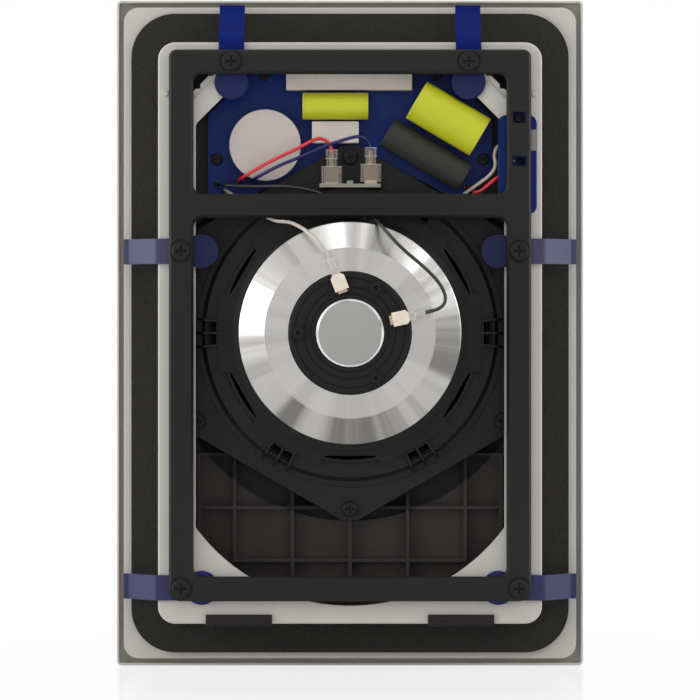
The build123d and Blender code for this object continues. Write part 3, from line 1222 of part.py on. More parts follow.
def build():
    """Every piece by node name, in the drawing frame."""
    pieces = {
        "grille": grille(),
        "grille_magnets": magnets(),
        "bezel": bezel(),
        "wall_gasket": gasket(),
        "edge_pads": edge_pads(),
        "clamp_frame": clamp_frame(),
        "clamp_screws": clamp_screws(),
        "baffle": baffle(),
        "baffle_screws": baffle_screws(),
        "driver_gasket": driver_gasket(),
        "driver_basket": basket(),
        "driver_screws": driver_screws(),
        "top_plate": top_plate(),
        "ferrite_magnet": ferrite_magnet(),
        "pole_yoke": yoke(),
        "rear_cap": rear_cap(),
        "tweeter_cover": tweeter_cover(),
        "tweeter_cover_screws": cover_screws(),
        "tweeter_pot": tweeter_pot(),
        "tweeter_dome": tweeter_dome(),
        "tweeter_horn": tweeter_horn(),
        "tweeter_tabs": tweeter_tabs(),
        "tweeter_connector_white": tweeter_connector(WHITE_CONNECTOR_TIP, WHITE_CONNECTOR_ANGLE),
        "tweeter_connector_black": tweeter_connector(BLACK_CONNECTOR_TIP, BLACK_CONNECTOR_ANGLE),
        "woofer_cone": cone(),
        "voice_coil_former": voice_coil_former(),
        "voice_coil": voice_coil(),
        "cone_surround": surround(),
        "cone_spider": spider(),
        "crossover_board": board(),
        "board_screws": board_screws(),
        "inductor_bobbin": coil_bobbin(),
        "inductor_winding": coil_winding(),
        "long_resistor": block_on_board(LONG_BLOCK, LONG_BLOCK_CENTRE),
        "short_resistor": block_on_board(SHORT_BLOCK, SHORT_BLOCK_CENTRE),
        "small_film_capacitor": can_on_board(SMALL_CAPACITOR, SMALL_CAPACITOR_CENTRE, 0, 0.6),
        "large_film_capacitor": can_on_board(LARGE_CAPACITOR, LARGE_CAPACITOR_CENTRE, CAPACITOR_TILT, 0.6),
        "black_capacitor": can_on_board(BLACK_CAPACITOR, BLACK_CAPACITOR_CENTRE, CAPACITOR_TILT, 1.0),
        "terminal_block": terminal_block(),
        "terminal_inserts": terminal_inserts(),
        "terminal_screw": terminal_screw(),
        "woofer_terminal_strip": terminal_strip(),
        "woofer_tabs": terminal_tabs(),
        "woofer_sleeve_red": woofer_sleeve(SLEEVE_RED_AT),
        "woofer_sleeve_blue": woofer_sleeve(SLEEVE_BLUE_AT),
        "woofer_receptacle_red": woofer_receptacle(SLEEVE_RED_AT),
        "woofer_receptacle_blue": woofer_receptacle(SLEEVE_BLUE_AT),
    }
    for name, (x, y, angle) in clamp_screw_points().items():
        pieces[f"finger_{name}"] = finger(x, y, angle)
    routes = {
        "lead_red": RED_ROUTE,
        "lead_blue": BLUE_ROUTE,
        "lead_white": connector_lead(WHITE_ROUTE, WHITE_CONNECTOR_TIP, WHITE_CONNECTOR_ANGLE),
        "lead_black": connector_lead(BLACK_ROUTE, BLACK_CONNECTOR_TIP, BLACK_CONNECTOR_ANGLE),
        "input_lead_white": WHITE_INPUT_ROUTE,
        "input_lead_red": RED_INPUT_ROUTE,
    }
    for name, route in routes.items():
        pieces[name], length = lead(route)
        report_lead(name, route, pieces[name], length)
    return pieces


def save(pieces):
    """Turn each piece into the part's own frame and write its STEP file."""
    os.makedirs("parts", exist_ok=True)
    for name, piece in pieces.items():
        export_step(REAR_VIEW.location * piece, f"parts/{name}.step")


save(build())
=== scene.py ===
"""In-wall loudspeaker seen from behind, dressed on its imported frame."""
import logging
import math
from abc import ABC, abstractmethod
from dataclasses import dataclass, field
from enum import Enum
from functools import cached_property
from typing import Iterable, Mapping, Sequence

import bmesh
import bpy
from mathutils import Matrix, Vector


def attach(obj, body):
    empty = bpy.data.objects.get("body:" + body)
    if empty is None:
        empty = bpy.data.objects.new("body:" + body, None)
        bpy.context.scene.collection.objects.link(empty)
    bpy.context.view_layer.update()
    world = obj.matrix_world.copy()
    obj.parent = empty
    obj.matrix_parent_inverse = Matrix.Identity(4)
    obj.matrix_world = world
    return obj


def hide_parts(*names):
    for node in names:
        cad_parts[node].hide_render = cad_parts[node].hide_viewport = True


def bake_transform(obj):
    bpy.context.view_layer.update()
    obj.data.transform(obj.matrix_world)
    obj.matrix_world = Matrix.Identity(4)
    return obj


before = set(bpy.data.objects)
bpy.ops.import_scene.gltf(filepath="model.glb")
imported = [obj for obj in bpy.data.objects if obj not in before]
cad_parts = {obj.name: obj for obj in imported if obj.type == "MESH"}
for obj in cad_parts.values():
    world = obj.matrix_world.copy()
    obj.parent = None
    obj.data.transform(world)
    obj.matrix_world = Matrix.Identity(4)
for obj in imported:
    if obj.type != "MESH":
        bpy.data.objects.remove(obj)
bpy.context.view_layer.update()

log = logging.getLogger("speaker")
logging.basicConfig(level=logging.INFO, format="%(name)s: %(message)s")

MM = 0.001
WELD = 1e-7  # Distance in metres under which two vertices are one.
MIX_FACTOR, MIX_FIRST, MIX_SECOND, MIX_RESULT = 0, 6, 7, 2  # Socket numbers of a Mix node on colours.
SIDE_SHARE = 0.45  # How much of a side the break at its corner may take.
Work = bmesh.types.BMesh
Vertex = bmesh.types.BMVert
Pair = tuple[float, float]
Point = tuple[float, float, float]
Colour = tuple[float, float, float, float]
WHITE: Colour = (1.0, 1.0, 1.0, 1.0)


def place(x: float, y: float, z: float) -> Vector:
    """Turn millimetres right, up and rearward, as seen from behind, into a point of the row frame."""
    return Vector((-x * MM, z * MM, y * MM))


def slant(turn: float) -> Point:
    """Axis across the back that is turned from the left by an angle in degrees, in the row frame."""
    return -math.cos(math.radians(turn)), 0.0, math.sin(math.radians(turn))


def shade(red: int, green: int, blue: int) -> Colour:
    """Turn a display colour of 0 to 255 into the linear colour that a shader takes.

    Args:
        red: Red level.
        green: Green level.
        blue: Blue level.

    Returns:
        Linear red, green, blue and an alpha of 1.
    """
    def linear(level: int) -> float:
        """One channel, by the display curve."""
        share = level / 255
        return share / 12.92 if share <= 0.04045 else ((share + 0.055) / 1.055) ** 2.4

    return linear(red), linear(green), linear(blue), 1.0


class Direction(Enum):
    """An axis of the speaker in the row frame."""

    DRIVER = (0.0, 1.0, 0.0)
    HEIGHT = (0.0, 0.0, 1.0)
    WIDTH = (1.0, 0.0, 0.0)


class Signal:
    """A shader value or vector that Python's operators work on."""

    def __init__(self, sheet: "NodeSheet", socket: bpy.types.NodeSocket) -> None:
        """Keep the sheet and the socket that carries the value."""
        self.sheet = sheet
        self.socket = socket

    def __add__(self, other: "Signal | float") -> "Signal":
        """Sum."""
        return self.sheet.maths("ADD", self, other)

    __radd__ = __add__

    def __sub__(self, other: "Signal | float") -> "Signal":
        """Difference."""
        return self.sheet.maths("SUBTRACT", self, other)

    def __rsub__(self, other: "Signal | float") -> "Signal":
        """Difference, the other way round."""
        return self.sheet.maths("SUBTRACT", other, self)

    def __mul__(self, other: "Signal | float") -> "Signal":
        """Product."""
        return self.sheet.maths("MULTIPLY", self, other)

    __rmul__ = __mul__

    def __abs__(self) -> "Signal":
        """Size without sign."""
        return self.sheet.maths("ABSOLUTE", self)

    def wave(self) -> "Signal":
        """Sine of the value."""
        return self.sheet.maths("SINE", self)

    def ramp(self, low: float, high: float) -> "Signal":
        """Rise smoothly from 0 at low to 1 at high, or fall where high lies below low."""
        inputs = {"Value": self, "From Min": low, "From Max": high, "To Min": 0.0, "To Max": 1.0}
        return self.sheet.take(0, "ShaderNodeMapRange", {"interpolation_type": "SMOOTHSTEP"}, inputs)


class NodeSheet:
    """A node tree that finishes and surroundings are drawn on."""

    def __init__(self, tree: bpy.types.NodeTree) -> None:
        """Start with an empty tree."""
        self.tree = tree
        tree.nodes.clear()

    def node(
        self,
        kind: str,
        settings: Mapping[str, object] | None = None,
        inputs: Mapping[str | int, object] | None = None,
    ) -> bpy.types.Node:
        """Add a node: its settings first, then its sockets.

        Args:
            kind: The node's type.
            settings: Properties to set before the sockets.
            inputs: Values, signals or sockets by the input's name or number.

        Returns:
            The node.
        """
        node = self.tree.nodes.new(kind)
        for key, value in (settings or {}).items():
            setattr(node, key, value)
        for key, value in (inputs or {}).items():
            if isinstance(value, Signal):
                value = value.socket
            if isinstance(value, bpy.types.NodeSocket):
                self.tree.links.new(value, node.inputs[key])
            else:
                node.inputs[key].default_value = value
        return node

    def take(self, output: str | int, kind: str, *given: Mapping) -> Signal:
        """Add a node and take one output, by name or number."""
        return Signal(self, self.node(kind, *given).outputs[output])

    def maths(self, operation: str, *values: "Signal | float") -> Signal:
        """Add a Math node on the given values."""
        return self.take(0, "ShaderNodeMath", {"operation": operation}, dict(enumerate(values)))

    def vector(self, operation: str, *values: object, output: str = "Vector") -> Signal:
        """Add a Vector Math node on the given vectors."""
        return self.take(output, "ShaderNodeVectorMath", {"operation": operation}, dict(enumerate(values)))

    def blend(self, share: "Signal | float", low: object, high: object) -> Signal:
        """Mix two colours: all of the first at a share of 0, all of the second at 1."""
        sockets = {MIX_FACTOR: share, MIX_FIRST: low, MIX_SECOND: high}
        return self.take(MIX_RESULT, "ShaderNodeMix", {"data_type": "RGBA"}, sockets)

    def seen(self) -> Signal:
        """Tell what the eye sees.

        Returns:
            1 for what it sees straight, by gloss or through glass, else 0.
        """
        kinds = ("Camera", "Glossy", "Transmission")
        first, second, third = (self.take(f"Is {kind} Ray", "ShaderNodeLightPath") for kind in kinds)
        return self.maths("MAXIMUM", self.maths("MAXIMUM", first, second), third)

    def position(self) -> Signal:
        """Point on the surface in the row frame, in metres."""
        return self.take("Object", "ShaderNodeTexCoord")

    def along(self, axis: Sequence[float], origin: Vector = Vector()) -> Signal:
        """Distance along an axis from an origin, in metres."""
        offset = self.vector("SUBTRACT", self.position(), tuple(origin))
        return self.vector("DOT_PRODUCT", offset, axis, output="Value")

    def radius(self, axis: Sequence[float]) -> Signal:
        """Distance from an axis through the row frame's origin, in metres."""
        return self.vector("LENGTH", self.vector("CROSS_PRODUCT", self.position(), axis), output="Value")

    def heading(self, axis: Sequence[float]) -> Signal:
        """Unit vector that turns with the angle about an axis."""
        return self.vector("NORMALIZE", self.vector("CROSS_PRODUCT", self.position(), axis))

    def rim(self, width: float) -> Signal:
        """Rise from 0 on a flat to 1 at its edges.

        Args:
            width: Reach of the rise in metres.

        Returns:
            The share from 0 to 1.
        """
        rounded = self.take(0, "ShaderNodeBevel", {"samples": 6}, {"Radius": width})
        plain = self.take("True Normal", "ShaderNodeNewGeometry")
        return 1.0 - abs(self.vector("DOT_PRODUCT", rounded, plain, output="Value"))

    def noise(self, scale: float, detail: float = 2.0, stretch: Point = (1.0, 1.0, 1.0)) -> Signal:
        """Soft noise from 0 to 1, in lumps per metre, finer layers and a factor along each axis."""
        return self.noise_at(self.vector("MULTIPLY", self.position(), stretch), scale, detail)

    def noise_at(self, spot: Signal, scale: float, detail: float) -> Signal:
        """Soft noise from 0 to 1 at a spot that isn't the surface's own."""
        return self.take(0, "ShaderNodeTexNoise", {}, {"Vector": spot, "Scale": scale, "Detail": detail})

    def cells(self, scale: float) -> Signal:
        """Distance to the nearest of scattered points, for pores and grains."""
        return self.take("Distance", "ShaderNodeTexVoronoi", {}, {"Vector": self.position(), "Scale": scale})

    def weave(self, thread: float) -> Signal:
        """Warp times weft of a plain weave, from -1 to 1.

        Args:
            thread: Width of a thread's whole wave in metres.

        Returns:
            The product of both waves.
        """
        turn = math.tau / thread
        warp = (self.along(Direction.WIDTH.value) * turn).wave()
        weft = (self.along(Direction.HEIGHT.value) * turn).wave()
        return warp * weft


class ShaderSheet(NodeSheet):
    """The node tree of one finish."""

    def __init__(self, name: str, colour: Colour) -> None:
        """Start a material with a principled surface.

        Args:
            name: Name of the material.
            colour: Its plain colour.
        """
        self.colour = self.base = colour
        self.material = bpy.data.materials.new(name)
        self.material.use_nodes = True
        super().__init__(self.material.node_tree)
        self.surface = self.node("ShaderNodeBsdfPrincipled")
        self.output = self.node("ShaderNodeOutputMaterial", inputs={"Surface": self.surface.outputs[0]})

    def darker(self, share: float) -> Colour:
        """The plain colour at a share of its strength."""
        red, green, blue, _ = self.colour
        return red * share, green * share, blue * share, 1.0

    def mottle(self, share: Signal, low: float, high: float) -> None:
        """Start the base colour as a mix of two strengths of the plain one."""
        self.base = self.blend(share, self.darker(low), self.darker(high))

    def paint(self, share: Signal, colour: Colour) -> None:
        """Lay a colour over the base colour."""
        self.base = self.blend(share, self.base, colour)

    def stain(self, share: Signal, strength: float) -> None:
        """Lay a strength of the plain colour over the base colour."""
        self.paint(share, self.darker(strength))

    def relief(self, height: Signal, depth: float, edge: float = 0.0) -> None:
        """Give the surface a relief.

        Args:
            height: Height from 0 to 1.
            depth: Depth of the relief in metres.
            edge: Radius that the eye sees on the edges, in metres.
        """
        inputs = {"Height": height, "Distance": depth, "Strength": 1.0}
        if edge:
            inputs["Normal"] = self.take(0, "ShaderNodeBevel", {"samples": 4}, {"Radius": edge})
        bump = self.node("ShaderNodeBump", inputs=inputs)
        self.tree.links.new(bump.outputs[0], self.surface.inputs["Normal"])

    def set(self, **sockets: object) -> None:
        """Set or link sockets of the surface.

        Args:
            sockets: Values or signals by the socket's name, an underscore for a space.
        """
        for key, value in sockets.items():
            target = self.surface.inputs[key.replace("_", " ")]
            if isinstance(value, Signal):
                self.tree.links.new(value.socket, target)
            else:
                target.default_value = value


@dataclass(frozen=True)
class Finish(ABC):
    """A finish that dresses pieces with one material."""

    name: str
    colour: Colour

    @abstractmethod
    def draw(self) -> None:
        """Draw the finish on its sheet."""

    @cached_property
    def sheet(self) -> ShaderSheet:
        """The sheet of the finish."""
        return ShaderSheet(self.name + "_finish", self.colour)

    @cached_property
    def material(self) -> bpy.types.Material:
        """The material, drawn when it is first asked for."""
        self.draw()
        self.sheet.set(Base_Color=self.sheet.base)
        return self.sheet.material

    def coat(self, pieces: Iterable[bpy.types.Object]) -> None:
        """Give every slot of the pieces this finish.

        Args:
            pieces: The pieces.
        """
        for piece in pieces:
            if not piece.data.materials:
                piece.data.materials.append(self.material)
            for slot in piece.material_slots:
                slot.material = self.material


@dataclass(frozen=True)
class Moulded(Finish):
    """Moulded plastic with an eroded grain and slight cloudiness."""

    roughness: float = 0.5
    grain: float = 2600.0
    depth: float = 0.00004
    cloud: float = 0.07
    edge: float = 0.0003
    specular: float = 0.5

    def draw(self) -> None:
        """Cloud the colour, vary the gloss and add the grain."""
        sheet = self.sheet
        fog = sheet.noise(28.0, 3.0)
        fine = sheet.noise(self.grain, 2.0)
        sheet.mottle(fog.ramp(0.3, 0.7), 1 - self.cloud, 1 + self.cloud)
        sheet.stain(fine.ramp(0.35, 0.65) * 0.25, 1 - 2 * self.cloud)
        self.tint()
        wander = (sheet.noise(190.0, 3.0) - 0.5) * 0.14
        sheet.set(Roughness=self.roughness + wander, Specular_IOR_Level=self.specular)
        sheet.relief(fine, self.depth, self.edge)

    def tint(self) -> None:
        """Keep the colour as it is."""


@dataclass(frozen=True)
class PaintedSheenFinger(Moulded):
    """Moulded finger with a painted sheen on the strip past the clamp frame and painted light and shade on
    its disc inside the frame.
    """

    grain: float = 1400.0
    depth: float = 0.00002
    cloud: float = 0.05
    edge: float = 0.0006
    specular: float = 0.2
    sheen_colour: Colour = WHITE
    # Colour of the disc inside the frame, painted for the light and shade that fall there.
    disc: Colour = WHITE
    sheen_from: float = 0.092
    shaded_disc_within: float = 0.0855
    run: Direction = Direction.WIDTH
    fade: float = 0.0008

    def tint(self) -> None:
        """Paint the sheen on the strip beyond the frame's edge, and the light and shade of the disc inside
        it.
        """
        far = abs(self.sheet.along(self.run.value))
        # Painted sheen on the strip past the frame, then painted light and shade on the disc inside it.
        self.sheet.paint(far.ramp(self.sheen_from - self.fade, self.sheen_from), self.sheen_colour)
        self.sheet.paint(far.ramp(self.shaded_disc_within, self.shaded_disc_within - self.fade), self.disc)


@dataclass(frozen=True)
class Shadowed(Moulded):
    """Moulded panel with a painted shadow of the driver's basket on the cells round the driver."""

    grain: float = 1600.0
    depth: float = 0.00009
    cloud: float = 0.08
    specular: float = 0.12
    shadow_within: float = 0.0968
    shadow_darkness: float = 0.42
    fade: float = 0.001

    def tint(self) -> None:
        """Paint the basket's shadow: darken the colour within a radius of the driver's axis."""
        reach = self.sheet.radius(Direction.DRIVER.value)
        self.sheet.stain(reach.ramp(self.shadow_within, self.shadow_within - self.fade), self.shadow_darkness)


@dataclass(frozen=True)
class Painted(Finish):
    """Sprayed paint on metal with orange peel and a scatter of dust."""

    roughness: float = 0.4
    peel: float = 900.0
    depth: float = 0.00003
    dust: float = 0.12
    edge: float = 0.0004
    specular: float = 0.5

    def draw(self) -> None:
        """Lay the peel, the dust and a gloss that wanders."""
        sheet = self.sheet
        peel = sheet.noise(self.peel, 2.0)
        speck = sheet.cells(2400.0).ramp(0.16, 0.05) * self.dust
        fog = sheet.noise(16.0, 2.0)
        sheet.mottle(fog, 0.93, 1.07)
        sheet.stain(speck, 1.7)
        sheet.set(Specular_IOR_Level=self.specular)
        sheet.set(Roughness=self.roughness + (sheet.noise(120.0, 3.0) - 0.5) * 0.12)
        sheet.relief(peel, self.depth, self.edge)


@dataclass(frozen=True)
class Foam(Finish):
    """Open-cell foam."""

    pore: float = 1500.0

    def draw(self) -> None:
        """Sink the pores and darken them with painted shade."""
        sheet = self.sheet
        pores = sheet.cells(self.pore)
        coarse = sheet.cells(self.pore * 0.45)
        sheet.mottle(pores.ramp(0.55, 0.15), 1.25, 0.45)
        sheet.set(Roughness=0.95 - pores * 0.1, Specular_IOR_Level=0.2)
        sheet.relief(pores * 0.7 + coarse * 0.3, 0.0004)


@dataclass(frozen=True)
class Turned(Finish):
    """Metal turned on a lathe about the driver's axis, with fine tool lines, fans of painted reflection and,
    beyond a radius, a near-white satin band that is a painted highlight.
    """

    roughness: float = 0.28
    pitch: float = 0.00022
    depth: float = 0.000004
    streak: float = 0.12
    reflection_fan: float = 0.0
    reflection_fan_from: float = 0.0
    reflection_fan_turn: float = 3.75
    reflection_fan_shift: Point = (5.3, 0.0, 2.1)
    satin_highlight_from: float = 1.0
    satin: Colour = (0.9, 0.9, 0.9, 1.0)

    def draw(self) -> None:
        """Cut the tool lines, let the gloss follow them, paint light and dark fans of reflection round the
        axis and paint the highlight band as near-white satin.
        """
        sheet = self.sheet
        reach = sheet.radius(Direction.DRIVER.value)
        band = sheet.noise_at(sheet.take(0, "ShaderNodeCombineXYZ", {}, {"X": reach}), 1700.0, 6.0)
        cut = (reach * (math.tau / self.pitch)).wave() * 0.5 + 0.5
        smudge = sheet.noise(40.0, 3.0)
        turning = {"Vector": sheet.heading(Direction.DRIVER.value), "Angle": self.reflection_fan_turn}
        turned = sheet.take(0, "ShaderNodeVectorRotate", {"rotation_type": "Y_AXIS"}, turning)
        reflection_rays = sheet.noise_at(sheet.vector("ADD", turned, self.reflection_fan_shift), 2.0, 5.0)
        outside = reach.ramp(self.reflection_fan_from - 0.0006, self.reflection_fan_from + 0.0006) * 0.75 + 0.25
        # Painted reflection: light and dark fans by angle round the axis.
        reflection_fan = reflection_rays.ramp(0.44, 0.6) * outside * self.reflection_fan
        # Painted highlight: a near-white satin band beyond the given radius.
        satin = reach.ramp(self.satin_highlight_from - 0.0001, self.satin_highlight_from + 0.0001)
        sheet.mottle(band.ramp(0.3, 0.7), 0.9, 1.0)
        sheet.stain(smudge.ramp(0.45, 0.8) * 0.2, 0.82)
        sheet.stain(reflection_fan, 0.32)
        sheet.paint(satin, self.satin)
        sheet.set(Metallic=1.0 - satin * 0.85)
        sheet.set(Roughness=self.roughness + (band - 0.5) * self.streak + (smudge - 0.5) * 0.08)
        sheet.relief(cut * 0.5 + band * 0.5, self.depth)


@dataclass(frozen=True)
class Plated(Finish):
    """Plated steel with faint brushing and handling marks."""

    roughness: float = 0.34
    brush: Point = (40.0, 1.0, 1.0)

    def draw(self) -> None:
        """Brush it one way and spot it."""
        sheet = self.sheet
        lines = sheet.noise(260.0, 5.0, self.brush)
        spots = sheet.noise(320.0, 3.0)
        sheet.mottle(lines.ramp(0.3, 0.7), 0.84, 1.06)
        sheet.stain(spots.ramp(0.56, 0.74) * 0.5, 0.6)
        sheet.set(Metallic=1.0)
        sheet.set(Roughness=self.roughness + (lines - 0.5) * 0.16 + spots.ramp(0.5, 0.8) * 0.12)
        sheet.relief(lines, 0.00001, 0.0001)


@dataclass(frozen=True)
class Ferrite(Finish):
    """Ground ferrite with chips along its edges."""

    def draw(self) -> None:
        """Speckle it and sink the chips."""
        sheet = self.sheet
        grain = sheet.noise(1800.0, 3.0)
        chips = sheet.noise(150.0, 4.0).ramp(0.66, 0.72)
        sheet.mottle(grain, 0.8, 1.3)
        sheet.stain(chips, 0.5)
        sheet.set(Specular_IOR_Level=0.45)
        sheet.set(Roughness=0.62 + chips * 0.25 + (grain - 0.5) * 0.1)
        sheet.relief(grain * 0.3 - chips, 0.00012, 0.0003)


@dataclass(frozen=True)
class Wound(Finish):
    """Enamelled wire wound in even turns."""

    turns: float = 0.0006

    def draw(self) -> None:
        """Raise each turn of wire, with painted shade in the grooves between turns."""
        sheet = self.sheet
        height = abs((sheet.along(Direction.DRIVER.value) * (math.tau / self.turns)).wave())
        tint = sheet.noise(90.0, 2.0)
        sheet.mottle(height.ramp(0.0, 0.5), 0.35, 1.0)
        sheet.stain(tint * 0.3, 0.7)
        sheet.set(Metallic=0.85)
        sheet.set(Roughness=0.3 + tint * 0.15, Coat_Weight=0.6)
        sheet.relief(height, 0.00016)


@dataclass(frozen=True)
class Woven(Finish):
    """Impregnated cloth in a plain weave."""

    thread: float = 0.0007

    def draw(self) -> None:
        """Cross warp and weft, with painted shade in the gaps between threads."""
        sheet = self.sheet
        weave = abs(sheet.weave(self.thread))
        sheet.mottle(weave, 0.55, 1.15)
        sheet.set(Roughness=0.78 - weave * 0.1, Sheen_Weight=0.2)
        sheet.relief(weave, 0.00012)


@dataclass(frozen=True)
class Pressed(Finish):
    """Pressed paper pulp with fibres."""

    def draw(self) -> None:
        """Scatter fibres in both directions."""
        sheet = self.sheet
        long = sheet.noise(420.0, 4.0, (6.0, 1.0, 1.0))
        cross = sheet.noise(420.0, 4.0, (1.0, 1.0, 6.0))
        fibre = long.ramp(0.52, 0.66) * 0.5 + cross.ramp(0.52, 0.66) * 0.5
        sheet.mottle(fibre, 0.8, 1.7)
        sheet.set(Roughness=0.86 - fibre * 0.12)
        sheet.relief(fibre, 0.00008)


@dataclass(frozen=True)
class Rubber(Finish):
    """Soft rubber with a dusty bloom."""

    roughness: float = 0.62

    def draw(self) -> None:
        """Lay the bloom unevenly."""
        sheet = self.sheet
        bloom = sheet.noise(60.0, 4.0)
        grain = sheet.noise(2200.0, 2.0)
        sheet.mottle(bloom.ramp(0.4, 0.75), 1.0, 1.6)
        sheet.set(Roughness=self.roughness + (bloom - 0.5) * 0.2)
        sheet.relief(grain, 0.00003, 0.0002)


@dataclass(frozen=True)
class SolderMask(Finish):
    """Lacquer over the glass weave and copper of a circuit board."""

    thread: float = 0.0009

    def draw(self) -> None:
        """Show the weave through the lacquer, with the copper fields a little lighter."""
        sheet = self.sheet
        weave = sheet.weave(self.thread) * 0.5 + 0.5
        fields = sheet.noise(34.0, 0.0, (1.0, 1.0, 1.6))
        copper = fields.ramp(0.47, 0.48) - fields.ramp(0.53, 0.54)
        sheet.mottle(copper, 1.0, 1.16)
        sheet.stain(weave * 0.12, 0.7)
        sheet.set(Specular_IOR_Level=0.2)
        sheet.set(Roughness=0.42 + (sheet.noise(70.0, 2.0) - 0.5) * 0.12)
        sheet.relief(copper * 0.8 + weave * 0.2, 0.00005, 0.0001)


@dataclass(frozen=True)
class Cement(Finish):
    """Fine cement filling and cast faces of a power resistor or a bobbin."""

    pit: float = 900.0
    brushed: float = 0.0

    def draw(self) -> None:
        """Pit the face, and draw it out where it is brushed."""
        sheet = self.sheet
        pits = sheet.cells(self.pit).ramp(0.2, 0.06)
        fog = sheet.noise(60.0, 4.0)
        lines = sheet.noise(120.0, 4.0, (8.0, 1.0, 0.3))
        sheet.mottle(fog.ramp(0.3, 0.7), 0.95, 1.04)
        sheet.stain(lines * self.brushed, 0.86)
        sheet.stain(pits * 0.3, 0.75)
        sheet.set(Specular_IOR_Level=0.3)
        sheet.set(Roughness=0.66 + (fog - 0.5) * 0.14)
        sheet.relief(fog * 0.5 - pits * 0.5, 0.00005, 0.0002)


@dataclass(frozen=True)
class Wrapped(Finish):
    """Film or sleeve wrapped round a capacitor, with a crimp line near each end."""

    centre: Point = (0.0, 0.0, 0.0)
    tilt: float = 0.0
    half: float = 0.017
    roughness: float = 0.36
    line: float = 0.35
    specular: float = 0.4

    def draw(self) -> None:
        """Draw the crimp lines, the lap of the film and its waviness."""
        sheet = self.sheet
        reach = abs(sheet.along(slant(self.tilt), place(*self.centre)))
        edge = self.half - 0.0016
        crimp = reach.ramp(edge - 0.0004, edge) - reach.ramp(edge, edge + 0.0004)
        face = reach.ramp(self.half - 0.0003, self.half - 0.0001)
        wrap = sheet.noise(240.0, 3.0, (0.3, 1.0, 1.0))
        sheet.mottle(wrap, 0.93, 1.05)
        sheet.stain(crimp * self.line, 0.55)
        sheet.stain(face * 0.5, 0.6)
        sheet.set(Roughness=self.roughness + (wrap - 0.5) * 0.16 + face * 0.2)
        sheet.set(Specular_IOR_Level=self.specular)
        sheet.relief(wrap * 0.3 - crimp, 0.00008)


@dataclass(frozen=True)
class Insulation(Finish):
    """Extruded wire insulation."""

    roughness: float = 0.38

    def draw(self) -> None:
        """Rub it here and there."""
        sheet = self.sheet
        rub = sheet.noise(210.0, 3.0)
        sheet.mottle(rub.ramp(0.35, 0.75), 1.0, 0.86)
        sheet.set(Roughness=self.roughness + (rub - 0.5) * 0.18)
        sheet.relief(sheet.noise(1500.0, 1.0), 0.00002)


@dataclass(frozen=True)
class ClearSleeve(Finish):
    """Clear flexible sleeve over a metal contact, with painted highlights along its edges."""

    opacity: float = 0.1
    roughness: float = 0.16
    line: float = 0.0005

    def draw(self) -> None:
        """Let the contact show through the flats, and paint highlights on the edges."""
        sheet = self.sheet
        scuff = sheet.noise(380.0, 3.0)
        edge = sheet.rim(self.line).ramp(0.02, 0.2)
        sheet.mottle(scuff, 0.92, 1.0)
        sheet.stain(edge, 1.4)
        sheet.set(Roughness=self.roughness + scuff * 0.14)
        sheet.set(Alpha=self.opacity + (scuff - 0.5) * 0.08 + edge * 0.5)
        sheet.relief(scuff, 0.00002)


@dataclass(frozen=True)
class HoodedConnector(Finish):
    """Cream moulded hood on a clear neck, by distance along its own axis."""

    tip: Point = (0.0, 0.0, 0.0)
    turn: float = 0.0
    hood: Pair = (0.0018, 0.0104)
    neck: Colour = (0.72, 0.7, 0.66, 1.0)

    def draw(self) -> None:
        """Keep the hood solid, with a painted highlight on its edges, and let the neck be clear."""
        sheet = self.sheet
        reach = sheet.along(slant(self.turn), place(*self.tip))
        clear = reach.ramp(self.hood[1] - 0.0002, self.hood[1] + 0.0002)
        edge = sheet.rim(0.0005).ramp(0.02, 0.2)
        fog = sheet.noise(300.0, 3.0)
        sheet.mottle(fog.ramp(0.3, 0.7), 0.95, 1.04)
        sheet.stain(reach.ramp(self.hood[0] + 0.0003, self.hood[0]) * 0.15, 0.7)
        sheet.paint(clear, self.neck)
        sheet.stain(edge * 0.5, 1.2)
        sheet.set(Alpha=1.0 - clear * (0.52 - edge * 0.4))
        sheet.set(Roughness=0.34 + (fog - 0.5) * 0.14 - clear * 0.14)
        sheet.relief(fog, 0.00002, 0.0002)


